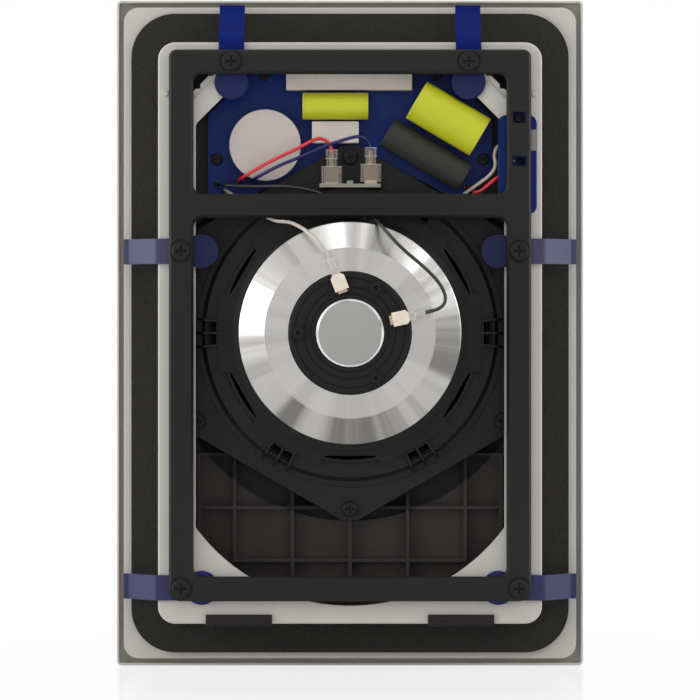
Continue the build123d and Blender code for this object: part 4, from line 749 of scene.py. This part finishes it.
class Workshop:
    """The finishes of this speaker's own pieces."""

    tray = Painted("grille_paint", shade(200, 195, 189), 0.42, dust=0.03, depth=0.00002, specular=0.3)
    bezel = Moulded(
        "bezel_white", shade(197, 192, 186), 0.5, cloud=0.02, depth=0.00002, edge=0.0006, specular=0.3,
    )
    foam = Foam("gasket_foam", shade(42, 41, 39))
    pad = Foam("pad_foam", shade(38, 36, 35))
    # The baffle's finish paints the basket's shadow round the driver.
    baffle = Shadowed("baffle_black", shade(58, 55, 53), 0.6)
    clamp = Painted("clamp_frame_black", shade(33, 33, 32), 0.46, dust=0.04, edge=0.0004, specular=0.15)
    # One blue plastic in three copies, one for each level of finger: painted sheen on the strips past the
    # frame, painted light and shade on the discs, and for the top a base colour of its own for the light it
    # gets.
    low_finger_painted_light = PaintedSheenFinger(
        "finger_blue_low", shade(14, 24, 92), 0.4, sheen_colour=shade(52, 51, 90), disc=shade(28, 33, 100),
    )
    middle_finger_painted_light = PaintedSheenFinger(
        "finger_blue_middle", shade(14, 24, 92), 0.4, sheen_colour=shade(70, 68, 97), disc=shade(21, 26, 68),
    )
    top_finger_painted_light = PaintedSheenFinger(
        "finger_blue_matt", shade(12, 30, 104), 0.6, edge=0.0012, specular=0.08, sheen_colour=shade(12, 30, 104),
        disc=shade(36, 42, 84), sheen_from=0.3, shaded_disc_within=0.140, run=Direction.HEIGHT,
    )
    bolt = Painted("screw_blackened", shade(30, 30, 29), 0.5, dust=0.04, edge=0.0003, specular=0.15)
    magnet = Plated("magnet_nickel", shade(160, 158, 154), 0.25)
    basket = Painted(
        "basket_black", shade(34, 33, 32), 0.5,
        peel=1500.0, depth=0.00004, dust=0.05, edge=0.00035, specular=0.16,
    )
    steel = Plated("motor_steel", shade(136, 135, 132), 0.36)
    ferrite = Ferrite("ring_magnet", shade(48, 46, 46))
    # The cap's finish paints fans of reflection on its bevel; the pot's paints a highlight band on its rim.
    cap = Turned("turned_cap", shade(190, 188, 184), 0.3, reflection_fan=0.9, reflection_fan_from=0.043)
    disc = Turned("turned_pot", shade(160, 160, 157), 0.44, streak=0.05, depth=0.000002, satin_highlight_from=0.0161)
    cover = Moulded(
        "tweeter_cover_black", shade(26, 25, 25), 0.42, grain=900.0, depth=0.00002, cloud=0.05, specular=0.15,
    )
    horn = Moulded("waveguide_black", shade(30, 29, 29), 0.4, specular=0.3)
    cloth = Woven("suspension_cloth", shade(150, 128, 84))
    dome = Woven("dome_cloth", shade(60, 58, 56), 0.0005)
    cone = Pressed("cone_paper", shade(52, 50, 48))
    former = Pressed("former_paper", shade(150, 120, 80))
    surround = Rubber("surround_rubber", shade(36, 35, 35))
    copper = Wound("copper_wire", shade(186, 104, 62))
    board = SolderMask("board_blue", shade(3, 36, 110))
    bobbin = Cement("bobbin_disc", shade(198, 189, 182), brushed=0.6)
    cement = Cement("resistor_cement", shade(214, 205, 199), brushed=0.3)
    block = Moulded("terminal_block_blue", shade(5, 30, 92), 0.4, cloud=0.04, specular=0.15)
    insert = Moulded("insert_pale", shade(134, 130, 126), 0.5, cloud=0.03)
    strip = Moulded("strip_grey", shade(146, 141, 135), 0.5, cloud=0.04)
    tin = Plated("tinned_brass", shade(176, 160, 136), 0.3)
    contact = Plated("receptacle_tin", shade(120, 106, 90), 0.34)
    sleeve = ClearSleeve("sleeve_clear", shade(196, 190, 182))
    cream = shade(230, 218, 202)
    white_connector = HoodedConnector("connector_cream_left", cream, (-3.1, 19.6, 69.2), 111.5)
    black_connector = HoodedConnector("connector_cream_right", cream, (19.4, 6.1, 69.2), 12.5)
    solder = Plated("solder", shade(96, 94, 90), 0.46)
    red = Insulation("wire_red", shade(224, 50, 62))
    blue = Insulation("wire_blue", shade(8, 14, 84))
    white = Insulation("wire_white", shade(196, 186, 177))
    black = Insulation("wire_black", shade(34, 33, 33), 0.36)


def cad(*names: str) -> list[bpy.types.Object]:
    """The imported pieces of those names."""
    return [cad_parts[name] for name in names]


def dress(finish: Finish, *names: str) -> None:
    """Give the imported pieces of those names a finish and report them."""
    finish.coat(cad(*names))
    log.info("%s: %s", finish.name, ", ".join(names))


def put(name: str, data: bpy.types.ID) -> bpy.types.Object:
    """Put an object in the scene.

    Args:
        name: Name of the object.
        data: Its mesh, curve, lamp or camera.

    Returns:
        The object.
    """
    thing = bpy.data.objects.new(name, data)
    bpy.context.scene.collection.objects.link(thing)
    return thing


def add_mesh(name: str, mesh: bpy.types.Mesh, finish: Finish) -> bpy.types.Object:
    """Put a mesh in the scene as a piece that rides on the fixed body.

    Args:
        name: Name of the piece.
        mesh: Its mesh.
        finish: Its finish.

    Returns:
        The piece.
    """
    piece = put(name, mesh)
    finish.coat([piece])
    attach(piece, "frame")
    log.info("%s: %d faces", name, len(mesh.polygons))
    return piece


def smooth(mesh: bpy.types.Mesh, angle: float = 32.0) -> None:
    """Shade a mesh smooth, with edges sharper than the angle kept."""
    mesh.shade_smooth()
    mesh.set_sharp_from_angle(angle=math.radians(angle))


def turned_ring(work: Work, outline: Iterable[Pair], turn: float, centre: Pair = (0.0, 0.0)) -> list[Vertex]:
    """Add an outline's vertices, from radii and depths, at one angle about an axis along the driver."""
    (x, y), cos, sin = centre, math.cos(turn), math.sin(turn)
    return [work.verts.new(place(x + r * cos, y + r * sin, z)) for r, z in outline]


def skin(work: Work, rings: Sequence[Sequence[Vertex]]) -> None:
    """Join each closed ring of vertices to the next with a belt of faces.

    Args:
        work: The mesh being built.
        rings: Rings with as many vertices each.
    """
    for first, second in zip(rings, rings[1:]):
        for i in range(len(first)):
            j = (i + 1) % len(first)
            work.faces.new((first[i], first[j], second[j], second[i]))


@dataclass
class Lathe:
    """Turns a closed outline of radius and depth about an axis along the driver."""

    outline: Sequence[Pair]
    segments: int = 192
    centre: Pair = (0.0, 0.0)

    def add_to(self, work: Work) -> None:
        """Add the turned solid to a mesh being built.

        Args:
            work: The mesh being built.
        """
        turns = [math.tau * step / self.segments for step in range(self.segments)]
        rings = [turned_ring(work, self.outline, turn, self.centre) for turn in turns]
        skin(work, rings + rings[:1])

    def mesh(self, name: str) -> bpy.types.Mesh:
        """Make the turned solid's mesh.

        Args:
            name: Name of the mesh.

        Returns:
            The mesh.
        """
        work = bmesh.new()
        self.add_to(work)
        return finish_mesh(work, name, 12.0)


def finish_mesh(work: Work, name: str, angle: float = 32.0) -> bpy.types.Mesh:
    """Weld, turn outwards and shade a mesh that was being built.

    Args:
        work: The mesh being built, which is freed.
        name: Name of the mesh.
        angle: Edges sharper than this stay sharp, in degrees.

    Returns:
        The mesh.
    """
    bmesh.ops.remove_doubles(work, verts=work.verts, dist=WELD)
    bmesh.ops.dissolve_degenerate(work, edges=work.edges, dist=WELD / 10)
    bmesh.ops.recalc_face_normals(work, faces=work.faces)
    mesh = bpy.data.meshes.new(name)
    work.to_mesh(mesh)
    work.free()
    smooth(mesh, angle)
    return mesh


def bevelled(outline: Sequence[Pair], width: float, skip: Iterable[int] = ()) -> list[Pair]:
    """Break the corners of a closed outline.

    Args:
        outline: Corners of radius and depth, in millimetres.
        width: Width of each break.
        skip: Numbers of the corners that stay sharp.

    Returns:
        The outline with three points at each broken corner.
    """
    result = []
    kept = set(skip)
    count = len(outline)
    for i, corner in enumerate(outline):
        if i in kept:
            result.append(corner)
            continue
        here = Vector(corner)
        before = Vector(outline[i - 1]) - here
        after = Vector(outline[(i + 1) % count]) - here
        reach = min(width, before.length * SIDE_SHARE, after.length * SIDE_SHARE)
        start, end = here + before.normalized() * reach, here + after.normalized() * reach
        middle = (start + end) / 2 * 0.5 + here * 0.5
        result += [tuple(start), tuple(middle), tuple(end)]
    return result


@dataclass
class Camera:
    """The photograph's view, straight at the back."""

    distance: float = 2.0
    field: float = 0.3633
    shift: float = -17 / 700
    sensor: float = 36.0

    def build(self) -> None:
        """Place the camera and make it the scene's own."""
        data = bpy.data.cameras.new("camera")
        data.sensor_width = self.sensor
        data.lens = self.sensor * self.distance / self.field
        data.shift_y = self.shift
        data.clip_start, data.clip_end = 0.05, 50.0
        camera = put("camera", data)
        camera.location = (0.0, self.distance, 0.0)
        camera.rotation_euler = (math.radians(90), 0.0, math.radians(180))
        bpy.context.scene.camera = camera
        log.info("camera at %.2f m", self.distance)


@dataclass
class Lamp:
    """A soft box that faces the speaker."""

    name: str
    spot: Point
    size: tuple[float, float]
    power: float
    aim: Point = (0.0, 0.03, 0.0)

    def build(self) -> None:
        """Hang the soft box."""
        data = bpy.data.lights.new(self.name, "AREA")
        data.shape = "RECTANGLE"
        data.size, data.size_y = self.size
        data.energy = self.power
        lamp = put(self.name, data)
        lamp.location = self.spot
        lamp.rotation_euler = (Vector(self.aim) - Vector(self.spot)).to_track_quat("-Z", "Y").to_euler()


@dataclass
class Studio:
    """Pale floor, white surroundings and soft boxes."""

    floor_level: float = -0.1727
    floor_half: float = 6.0
    floor_grey: Colour = (0.82, 0.82, 0.82, 1.0)
    shadow_reach: Pair = (0.12, 0.34)
    shadow_share: float = 0.26
    ambient: float = 0.56
    lamps: Sequence[Lamp] = field(default_factory=lambda: (
        Lamp("soft_box_left", (1.75, 1.05, 0.3), (0.75, 1.1), 9.0),
        Lamp("soft_box_top", (0.1, 1.05, 1.8), (0.26, 0.7), 4.5),
        Lamp("soft_box_right", (-1.35, 1.0, 1.15), (0.4, 0.5), 3.5),
        Lamp("soft_box_behind_camera", (0.0, 2.9, 0.3), (3.2, 2.4), 3.0),
        Lamp("side_panel_left", (1.3, 0.12, 0.2), (0.7, 1.2), 9.0),
        Lamp("side_panel_right", (-1.3, 0.12, 0.2), (0.7, 1.2), 9.0),
        Lamp("soft_box_front", (0.6, -1.6, 0.9), (1.2, 1.2), 9.0),
    ))

    def build(self) -> None:
        """Lay the floor, set the world and hang the lamps."""
        self.lay_floor()
        self.set_world()
        for lamp in self.lamps:
            lamp.build()
        bpy.context.scene.view_settings.view_transform = "Standard"
        log.info("studio: %d soft boxes", len(self.lamps))

    def lay_floor(self) -> None:
        """Make the floor, white to the eye away from the object's own shadow."""
        half = self.floor_half
        corners = [(-half, -half, 0.0), (half, -half, 0.0), (half, half, 0.0), (-half, half, 0.0)]
        mesh = bpy.data.meshes.new("floor")
        mesh.from_pydata(corners, [], [(0, 1, 2, 3)])
        floor = put("floor", mesh)
        floor.location = (0.0, 0.0, self.floor_level)
        sheet = ShaderSheet("floor_white", self.floor_grey)
        sheet.set(Base_Color=sheet.colour, Roughness=0.16, Specular_IOR_Level=0.3)
        away = sheet.radius(Direction.HEIGHT.value).ramp(*self.shadow_reach)
        share = sheet.seen() * (away * self.shadow_share + (1.0 - self.shadow_share))
        glow = sheet.take(0, "ShaderNodeEmission", {}, {"Color": WHITE, "Strength": 1.0})
        mixed = sheet.take(0, "ShaderNodeMixShader", {}, {0: share, 1: sheet.surface.outputs[0], 2: glow})
        sheet.tree.links.new(mixed.socket, sheet.output.inputs["Surface"])
        mesh.materials.append(sheet.material)

    def set_world(self) -> None:
        """Light softly all round, and show white to the eye, to gloss and through glass."""
        world = bpy.data.worlds.new("surroundings")
        world.use_nodes = True
        sheet = NodeSheet(world.node_tree)
        dim = sheet.take(0, "ShaderNodeBackground", {}, {"Color": WHITE, "Strength": self.ambient})
        full = sheet.take(0, "ShaderNodeBackground", {}, {"Color": WHITE, "Strength": 1.0})
        mixed = sheet.take(0, "ShaderNodeMixShader", {}, {0: sheet.seen(), 1: dim, 2: full})
        sheet.node("ShaderNodeOutputWorld", inputs={"Surface": mixed})
        bpy.context.scene.world = world


@dataclass
class Lead:
    """A wire from the board to what it feeds, its route as seen from behind in millimetres."""

    name: str
    slot: str
    finish: Finish
    length: float
    route: Sequence[Point]
    radius: float = 0.9

    def build(self) -> None:
        data = bpy.data.curves.new(self.name + "_wire", "CURVE")
        data.dimensions = "3D"
        data.bevel_depth = self.radius * MM
        data.bevel_resolution = 5
        data.resolution_u = 10
        data.use_fill_caps = True
        spline = data.splines.new("NURBS")
        spline.points.add(len(self.route) - 1)
        for point, spot in zip(spline.points, self.route):
            point.co = (*place(*spot), 1.0)
        spline.order_u = 3
        spline.use_endpoint_u = True
        wire = put(self.name + "_wire", data)
        self.finish.coat([wire])
        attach(wire, "frame")
        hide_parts(self.name)
        tuple(place(*self.route[0]))
        2 * self.radius * MM
        log.info("%s: %.0f mm", self.name, self.length)


@dataclass
class Harness:
    """The four driver leads and the two input leads."""

    board: float = 6.8

    def leads(self) -> list[Lead]:
        """Route the leads.

        Returns:
            The leads in the order in which they are drawn.
        """
        deck = self.board
        red = [
            (-57.6, 78.6, deck), (-57.6, 78.6, 20.0), (-43.0, 87.0, 22.6), (-34.0, 91.4, 22.4),
            (-25.4, 95.4, 21.2), (-17.15, 100.3, 19.6), (-12.5, 99.5, 18.6), (-9.45, 95.87, 18.0),
            (-9.45, 91.1, 18.0),
        ]
        blue = [
            (-51.5, 78.0, deck), (-51.5, 78.0, 19.6), (-38.0, 85.2, 24.6), (-25.5, 90.2, 25.0),
            (-12.5, 96.0, 24.8), (-4.6, 98.6, 24.2), (3.8, 101.25, 22.0), (8.04, 100.1, 19.8),
            (10.7, 96.6, 18.0), (10.7, 92.3, 18.0),
        ]
        black = [
            (-68.8, 77.0, deck), (-68.8, 77.0, 14.5), (-60.0, 75.4, 20.0), (-46.0, 75.1, 21.4),
            (-31.0, 75.4, 21.6), (-16.5, 72.6, 21.5), (-4.0, 66.2, 21.4), (7.6, 58.9, 21.6),
            (12.4, 56.2, 30.0), (12.6, 56.9, 44.0), (13.4, 56.8, 58.0), (17.5, 51.6, 67.0),
            (26.5, 41.8, 69.6), (37.8, 32.6, 69.9), (45.6, 24.4, 69.8), (48.4, 17.4, 69.6),
            (46.2, 12.6, 69.3), (39.22, 10.49, 69.2), (32.97, 9.11, 69.2),
        ]
        white = [
            (-64.6, 73.6, deck), (-64.6, 73.6, 14.0), (-57.0, 69.2, 20.2), (-47.4, 62.8, 21.6),
            (-39.0, 57.2, 24.0), (-31.5, 56.6, 40.0), (-27.0, 54.6, 55.0), (-21.0, 50.8, 66.0),
            (-14.6, 44.8, 69.5), (-10.54, 38.49, 69.2), (-8.19, 32.53, 69.2),
        ]
        white_input = [
            (57.8, 70.8, deck), (57.8, 70.8, 15.4), (64.8, 75.8, 18.6), (72.0, 80.9, 18.7),
            (75.3, 86.0, 18.4), (73.9, 91.6, 18.2), (75.6, 96.4, 18.0), (79.5, 98.4, 18.0),
        ]
        red_input = [
            (61.0, 75.4, deck), (61.0, 75.4, 12.4), (63.6, 72.2, 16.2), (67.0, 72.6, 20.2),
            (71.2, 76.2, 21.4), (75.4, 80.0, 20.2), (79.5, 81.4, 17.6),
        ]
        return [
            Lead("lead_red", "wire_red", Workshop.red, 70.0, red),
            Lead("lead_blue", "wire_blue", Workshop.blue, 85.0, blue),
            Lead("lead_white", "wire_white", Workshop.white, 107.0, white),
            Lead("lead_black", "wire_black", Workshop.black, 200.0, black),
            Lead("input_lead_white", "wire_white", Workshop.white, 45.5, white_input),
            Lead("input_lead_red", "wire_red", Workshop.red, 31.5, red_input),
        ]

    def build(self) -> None:
        """Draw every lead, and the solder at its foot."""
        work = bmesh.new()
        for lead in self.leads():
            lead.build()
            x, y, _ = lead.route[0]
            self.solder_foot(work, x, y)
        add_mesh("solder_feet", finish_mesh(work, "solder_feet"), Workshop.solder)

    def solder_foot(self, work: Work, x: float, y: float) -> None:
        """Add a fillet of solder round a lead's foot.

        Args:
            work: The mesh being built.
            x: Place across the board.
            y: Place up the board.
        """
        deck = self.board
        wall = [
            (0.3, deck), (1.7, deck), (1.7, deck + 0.08), (1.35, deck + 0.3), (1.1, deck + 0.8),
            (0.98, deck + 1.3), (0.3, deck + 1.4),
        ]
        Lathe(wall, 32, (x, y)).add_to(work)


@dataclass
class GrilleTray:
    """Folded sheet with staggered holes over its whole front."""

    width: float = 242.0
    height: float = 345.0
    sheet: float = 1.2
    corner: float = 2.4
    front: float = -9.0
    lip_end: float = -0.4
    columns: int = 56
    rows: int = 94
    margin: float = 5.6
    hole: float = 1.36
    nick: float = 0.3
    least_corner: float = 0.15
    corner_steps: int = 5
    bend_steps: int = 4
    hole_turns: Sequence[int] = (30, 90, 150, 210, 270, 330)

    def rounded(self, inset: float, depth: float, work: Work) -> list[Vertex]:
        """Ring of vertices round the tray.

        Args:
            inset: Distance in from the outer edge.
            depth: Depth of the ring.
            work: The mesh being built.

        Returns:
            The ring's vertices in order.
        """
        radius = max(self.corner - inset, self.least_corner)
        half_x, half_y = self.width / 2 - inset - radius, self.height / 2 - inset - radius
        ring = []
        for quarter, (sx, sy) in enumerate(((1, 1), (-1, 1), (-1, -1), (1, -1))):
            for step in range(self.corner_steps + 1):
                turn = math.pi / 2 * (quarter + step / self.corner_steps)
                centre = (sx * half_x, sy * half_y)
                ring += turned_ring(work, [(radius, depth)], turn, centre)
        return ring

    def lips(self, work: Work) -> None:
        """Fold the lips.

        Args:
            work: The mesh being built.
        """
        bend, nick, end = self.sheet, self.nick, self.lip_end
        turns = [math.pi / 2 * step / self.bend_steps for step in range(self.bend_steps + 1)]
        back = self.front + bend
        profile = [(bend - bend * math.sin(turn), back - bend * math.cos(turn)) for turn in turns]
        profile += [(0.0, end - nick), (nick, end), (bend - nick, end), (bend, end - nick), (bend, back)]
        skin(work, [self.rounded(inset, depth, work) for inset, depth in profile])

    def perforate(self, work: Work) -> None:
        """Add the field of holes: front, back and the wall of each hole.

        Args:
            work: The mesh being built.
        """
        pitch = (self.width - 2 * self.margin) / (self.columns + 0.5)
        rise = (self.height - 2 * self.margin) / self.rows
        left, low = -self.width / 2 + self.margin, -self.height / 2 + self.margin
        planes = (self.front, self.front + self.sheet)
        known: dict[tuple[int, int, int], Vertex] = {}

        def corner(half_column: int, row: int, plane: int) -> Vertex:
            """Make a lattice vertex, or take the one made before.

            Args:
                half_column: Half pitches from the left.
                row: Rows from the bottom.
                plane: 0 for the front, 1 for the back.

            Returns:
                The vertex.
            """
            key = (half_column, row, plane)
            if key not in known:
                spot = place(left + half_column * pitch / 2, low + row * rise, planes[plane])
                known[key] = work.verts.new(spot)
            return known[key]

        for row in range(self.rows):
            shift = row % 2
            for column in range(self.columns):
                start = 2 * column + shift
                centre = (left + (start + 1) * pitch / 2, low + (row + 0.5) * rise)
                rims = []
                for plane, depth in enumerate(planes):
                    cell = [corner(start + across, row + 1, plane) for across in (2, 1, 0)]
                    cell += [corner(start + across, row, plane) for across in (0, 1, 2)]
                    rim = []
                    for turn in self.hole_turns:
                        rim += turned_ring(work, [(self.hole, depth)], math.radians(turn), centre)
                    skin(work, (cell, rim))
                    rims.append(rim)
                skin(work, rims)
            end = 0 if shift else 2 * self.columns
            for plane in range(len(planes)):
                spots = ((end, row), (end + 1, row), (end + 1, row + 1), (end, row + 1))
                work.faces.new([corner(*spot, plane) for spot in spots])

    def build(self) -> None:
        """Fold, perforate and join the tray."""
        work = bmesh.new()
        self.lips(work)
        self.perforate(work)
        for plane in (self.front, self.front + self.sheet):
            loose = [edge for edge in work.edges if edge.is_boundary]
            flat = [edge for edge in loose if all(abs(v.co.y - plane * MM) < WELD for v in edge.verts)]
            bmesh.ops.triangle_fill(work, edges=flat, use_beauty=True)
        tray = add_mesh("grille_tray", finish_mesh(work, "grille_tray"), Workshop.tray)
        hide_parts("grille")


@dataclass
class Housing:
    """Bezel and tub, gaskets, magnets and baffle."""

    def build(self) -> None:
        """Dress the housing's pieces."""
        dress(Workshop.bezel, "bezel")
        dress(Workshop.foam, "wall_gasket", "driver_gasket")
        dress(Workshop.pad, "edge_pads")
        dress(Workshop.magnet, "grille_magnets")
        dress(Workshop.baffle, "baffle")
        dress(Workshop.bolt, "baffle_screws")


@dataclass
class ClampSet:
    """Clamp frame, its screws and the fingers that hold the wall."""

    sides: Sequence[str] = ("left", "right")

    def build(self) -> None:
        """Dress the clamp's pieces."""
        dress(Workshop.clamp, "clamp_frame")
        dress(Workshop.bolt, "clamp_screws")
        finishes = {"top": Workshop.top_finger_painted_light, "middle": Workshop.middle_finger_painted_light, "low": Workshop.low_finger_painted_light}
        for level, finish in finishes.items():
            dress(finish, *(f"finger_{level}_{side}" for side in self.sides))


@dataclass
class Spider:
    """Corrugated cloth in sectors between the coil former and the basket."""

    former: float = 16.2
    neck: float = 16.3
    collar: float = 1.2
    well: float = 44.0
    land: float = 15.05
    land_width: float = 3.0
    skin: float = 0.5
    waves: int = 5
    wave: float = 0.6
    wave_steps: int = 8
    sectors: int = 8
    steps: int = 12
    fold: float = 60.0

    def section(self) -> list[Pair]:
        """Draw the cloth's section.

        Returns:
            Its closed outline in radius and depth, out along one face and back along the other.
        """
        start = self.former + self.collar
        count = self.wave_steps * self.waves
        line = [(self.former, self.neck)]
        for i in range(count + 1):
            share = i / count
            taper = min(1.0, share * 2 * self.waves, (1 - share) * 2 * self.waves)
            ripple = -self.wave * math.cos(math.tau * share * self.waves) * taper
            depth = self.neck + (self.land - self.neck) * share + ripple
            line.append((start + (self.well - start) * share, depth))
        line.append((self.well + self.land_width, self.land))
        half = self.skin / 2
        return [(r, z + half) for r, z in line] + [(r, z - half) for r, z in reversed(line)]

    def build(self) -> None:
        """Sweep each sector and dress it."""
        section = self.section()
        width = math.tau / self.sectors
        for number in range(self.sectors):
            work = bmesh.new()
            turns = [width * (number + step / self.steps) for step in range(self.steps + 1)]
            rings = [turned_ring(work, section, turn) for turn in turns]
            skin(work, rings)
            for ring in (rings[0], rings[-1]):
                self.cap(work, ring)
            name = f"spider_sector_{number + 1}"
            piece = put(name, finish_mesh(work, name, self.fold))
            Workshop.cloth.coat([piece])
            middle = width * (number + 0.5)
            near, far = (
                tuple(place(r * math.cos(middle), r * math.sin(middle), 0.0))
                for r in (self.former + self.collar, self.well)
            )
            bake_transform(piece)
            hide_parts("cone_spider")
        log.info("spider: %d sectors", self.sectors)

    def cap(self, work: Work, ring: Sequence[Vertex]) -> None:
        """Close a sector's end with a strip of faces.

        Args:
            work: The mesh being built.
            ring: The end's vertices, out along one face and back along the other.
        """
        count = len(ring)
        for i in range(count // 2 - 1):
            work.faces.new((ring[i], ring[i + 1], ring[count - 2 - i], ring[count - 1 - i]))


@dataclass
class Driver:
    """Coaxial driver: basket, motor, cone and tweeter."""

    cap_front: float = 49.0
    cap_rear: float = 64.0
    back_plate: float = 55.0
    cap_radius: float = 56.2
    cap_flat: float = 43.0
    bevel_height: float = 7.5
    back_plate_radius: float = 50.2
    cover_seat: float = 62.0
    cover_radius: float = 30.7
    pot_bore: float = 17.3
    pot_radius: float = 17.1
    pot_rear: float = 67.2
    pot_bevel: float = 1.3

    def build(self) -> None:
        """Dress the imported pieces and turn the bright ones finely."""
        dress(Workshop.basket, "driver_basket")
        dress(Workshop.bolt, "driver_screws", "tweeter_cover_screws")
        dress(Workshop.steel, "top_plate", "pole_yoke")
        dress(Workshop.ferrite, "ferrite_magnet")
        dress(Workshop.cover, "tweeter_cover")
        dress(Workshop.horn, "tweeter_horn")
        dress(Workshop.dome, "tweeter_dome")
        dress(Workshop.cone, "woofer_cone")
        dress(Workshop.former, "voice_coil_former")
        dress(Workshop.copper, "voice_coil")
        dress(Workshop.surround, "cone_surround")
        Spider().build()
        dress(Workshop.strip, "woofer_terminal_strip")
        dress(Workshop.tin, "woofer_tabs", "tweeter_tabs")
        dress(Workshop.contact, "woofer_receptacle_red", "woofer_receptacle_blue")
        dress(Workshop.sleeve, "woofer_sleeve_red", "woofer_sleeve_blue")
        dress(Workshop.white_connector, "tweeter_connector_white")
        dress(Workshop.black_connector, "tweeter_connector_black")
        self.turn_cap()
        self.turn_pot()

    def turn_cap(self) -> None:
        """Turn the rear cap with its edges broken."""
        outline = [
            (self.back_plate_radius, self.cap_front), (self.cap_radius, self.cap_front),
            (self.cap_radius, self.cap_rear - self.bevel_height), (self.cap_flat, self.cap_rear),
            (self.cover_radius, self.cap_rear), (self.cover_radius, self.cover_seat),
            (self.pot_bore, self.cover_seat), (self.pot_bore, self.back_plate),
            (self.back_plate_radius, self.back_plate),
        ]
        mesh = Lathe(bevelled(outline, 0.5, (3,))).mesh("cap_turned")
        cap = add_mesh("cap_turned", mesh, Workshop.cap)
        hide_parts("rear_cap")

    def turn_pot(self) -> None:
        """Turn the tweeter's pot with its bright bevel."""
        rim = self.pot_radius - self.pot_bevel
        outline = [
            (0.02, self.back_plate), (self.pot_radius, self.back_plate),
            (self.pot_radius, self.pot_rear - self.pot_bevel), (rim, self.pot_rear), (0.02, self.pot_rear),
        ]
        mesh = Lathe(bevelled(outline, 0.25, (0, 1, 4))).mesh("pot_turned")
        pot = add_mesh("pot_turned", mesh, Workshop.disc)
        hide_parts("tweeter_pot")


@dataclass
class Crossover:
    """Board and its parts, and the input block."""

    tilt: float = -30.5
    small: Point = (-7.5, 116.9, 14.1)
    large: Point = (50.6, 110.3, 18.1)
    black: Point = (39.3, 91.6, 15.1)

    def build(self) -> None:
        """Dress the board, its parts and the input block."""
        dress(Workshop.board, "crossover_board")
        dress(Workshop.bolt, "board_screws", "terminal_screw")
        dress(Workshop.bobbin, "inductor_bobbin")
        dress(Workshop.copper, "inductor_winding")
        dress(Workshop.cement, "long_resistor", "short_resistor")
        yellow = shade(192, 196, 36)
        dress(Wrapped("film_small", yellow, self.small, half=0.01695), "small_film_capacitor")
        dress(Wrapped("film_large", yellow, self.large, self.tilt, half=0.01905), "large_film_capacitor")
        can = Wrapped(
            "can_sleeve", shade(50, 50, 48), self.black, self.tilt,
            half=0.02335, roughness=0.5, line=0.6, specular=0.2,
        )
        dress(can, "black_capacitor")
        dress(Workshop.block, "terminal_block")
        dress(Workshop.insert, "terminal_inserts")


def main() -> None:
    """Build the scene in order."""
    Camera().build()
    Harness().build()
    GrilleTray().build()
    Housing().build()
    ClampSet().build()
    Driver().build()
    Crossover().build()
    Studio().build()


if __name__ == "__main__":
    main()
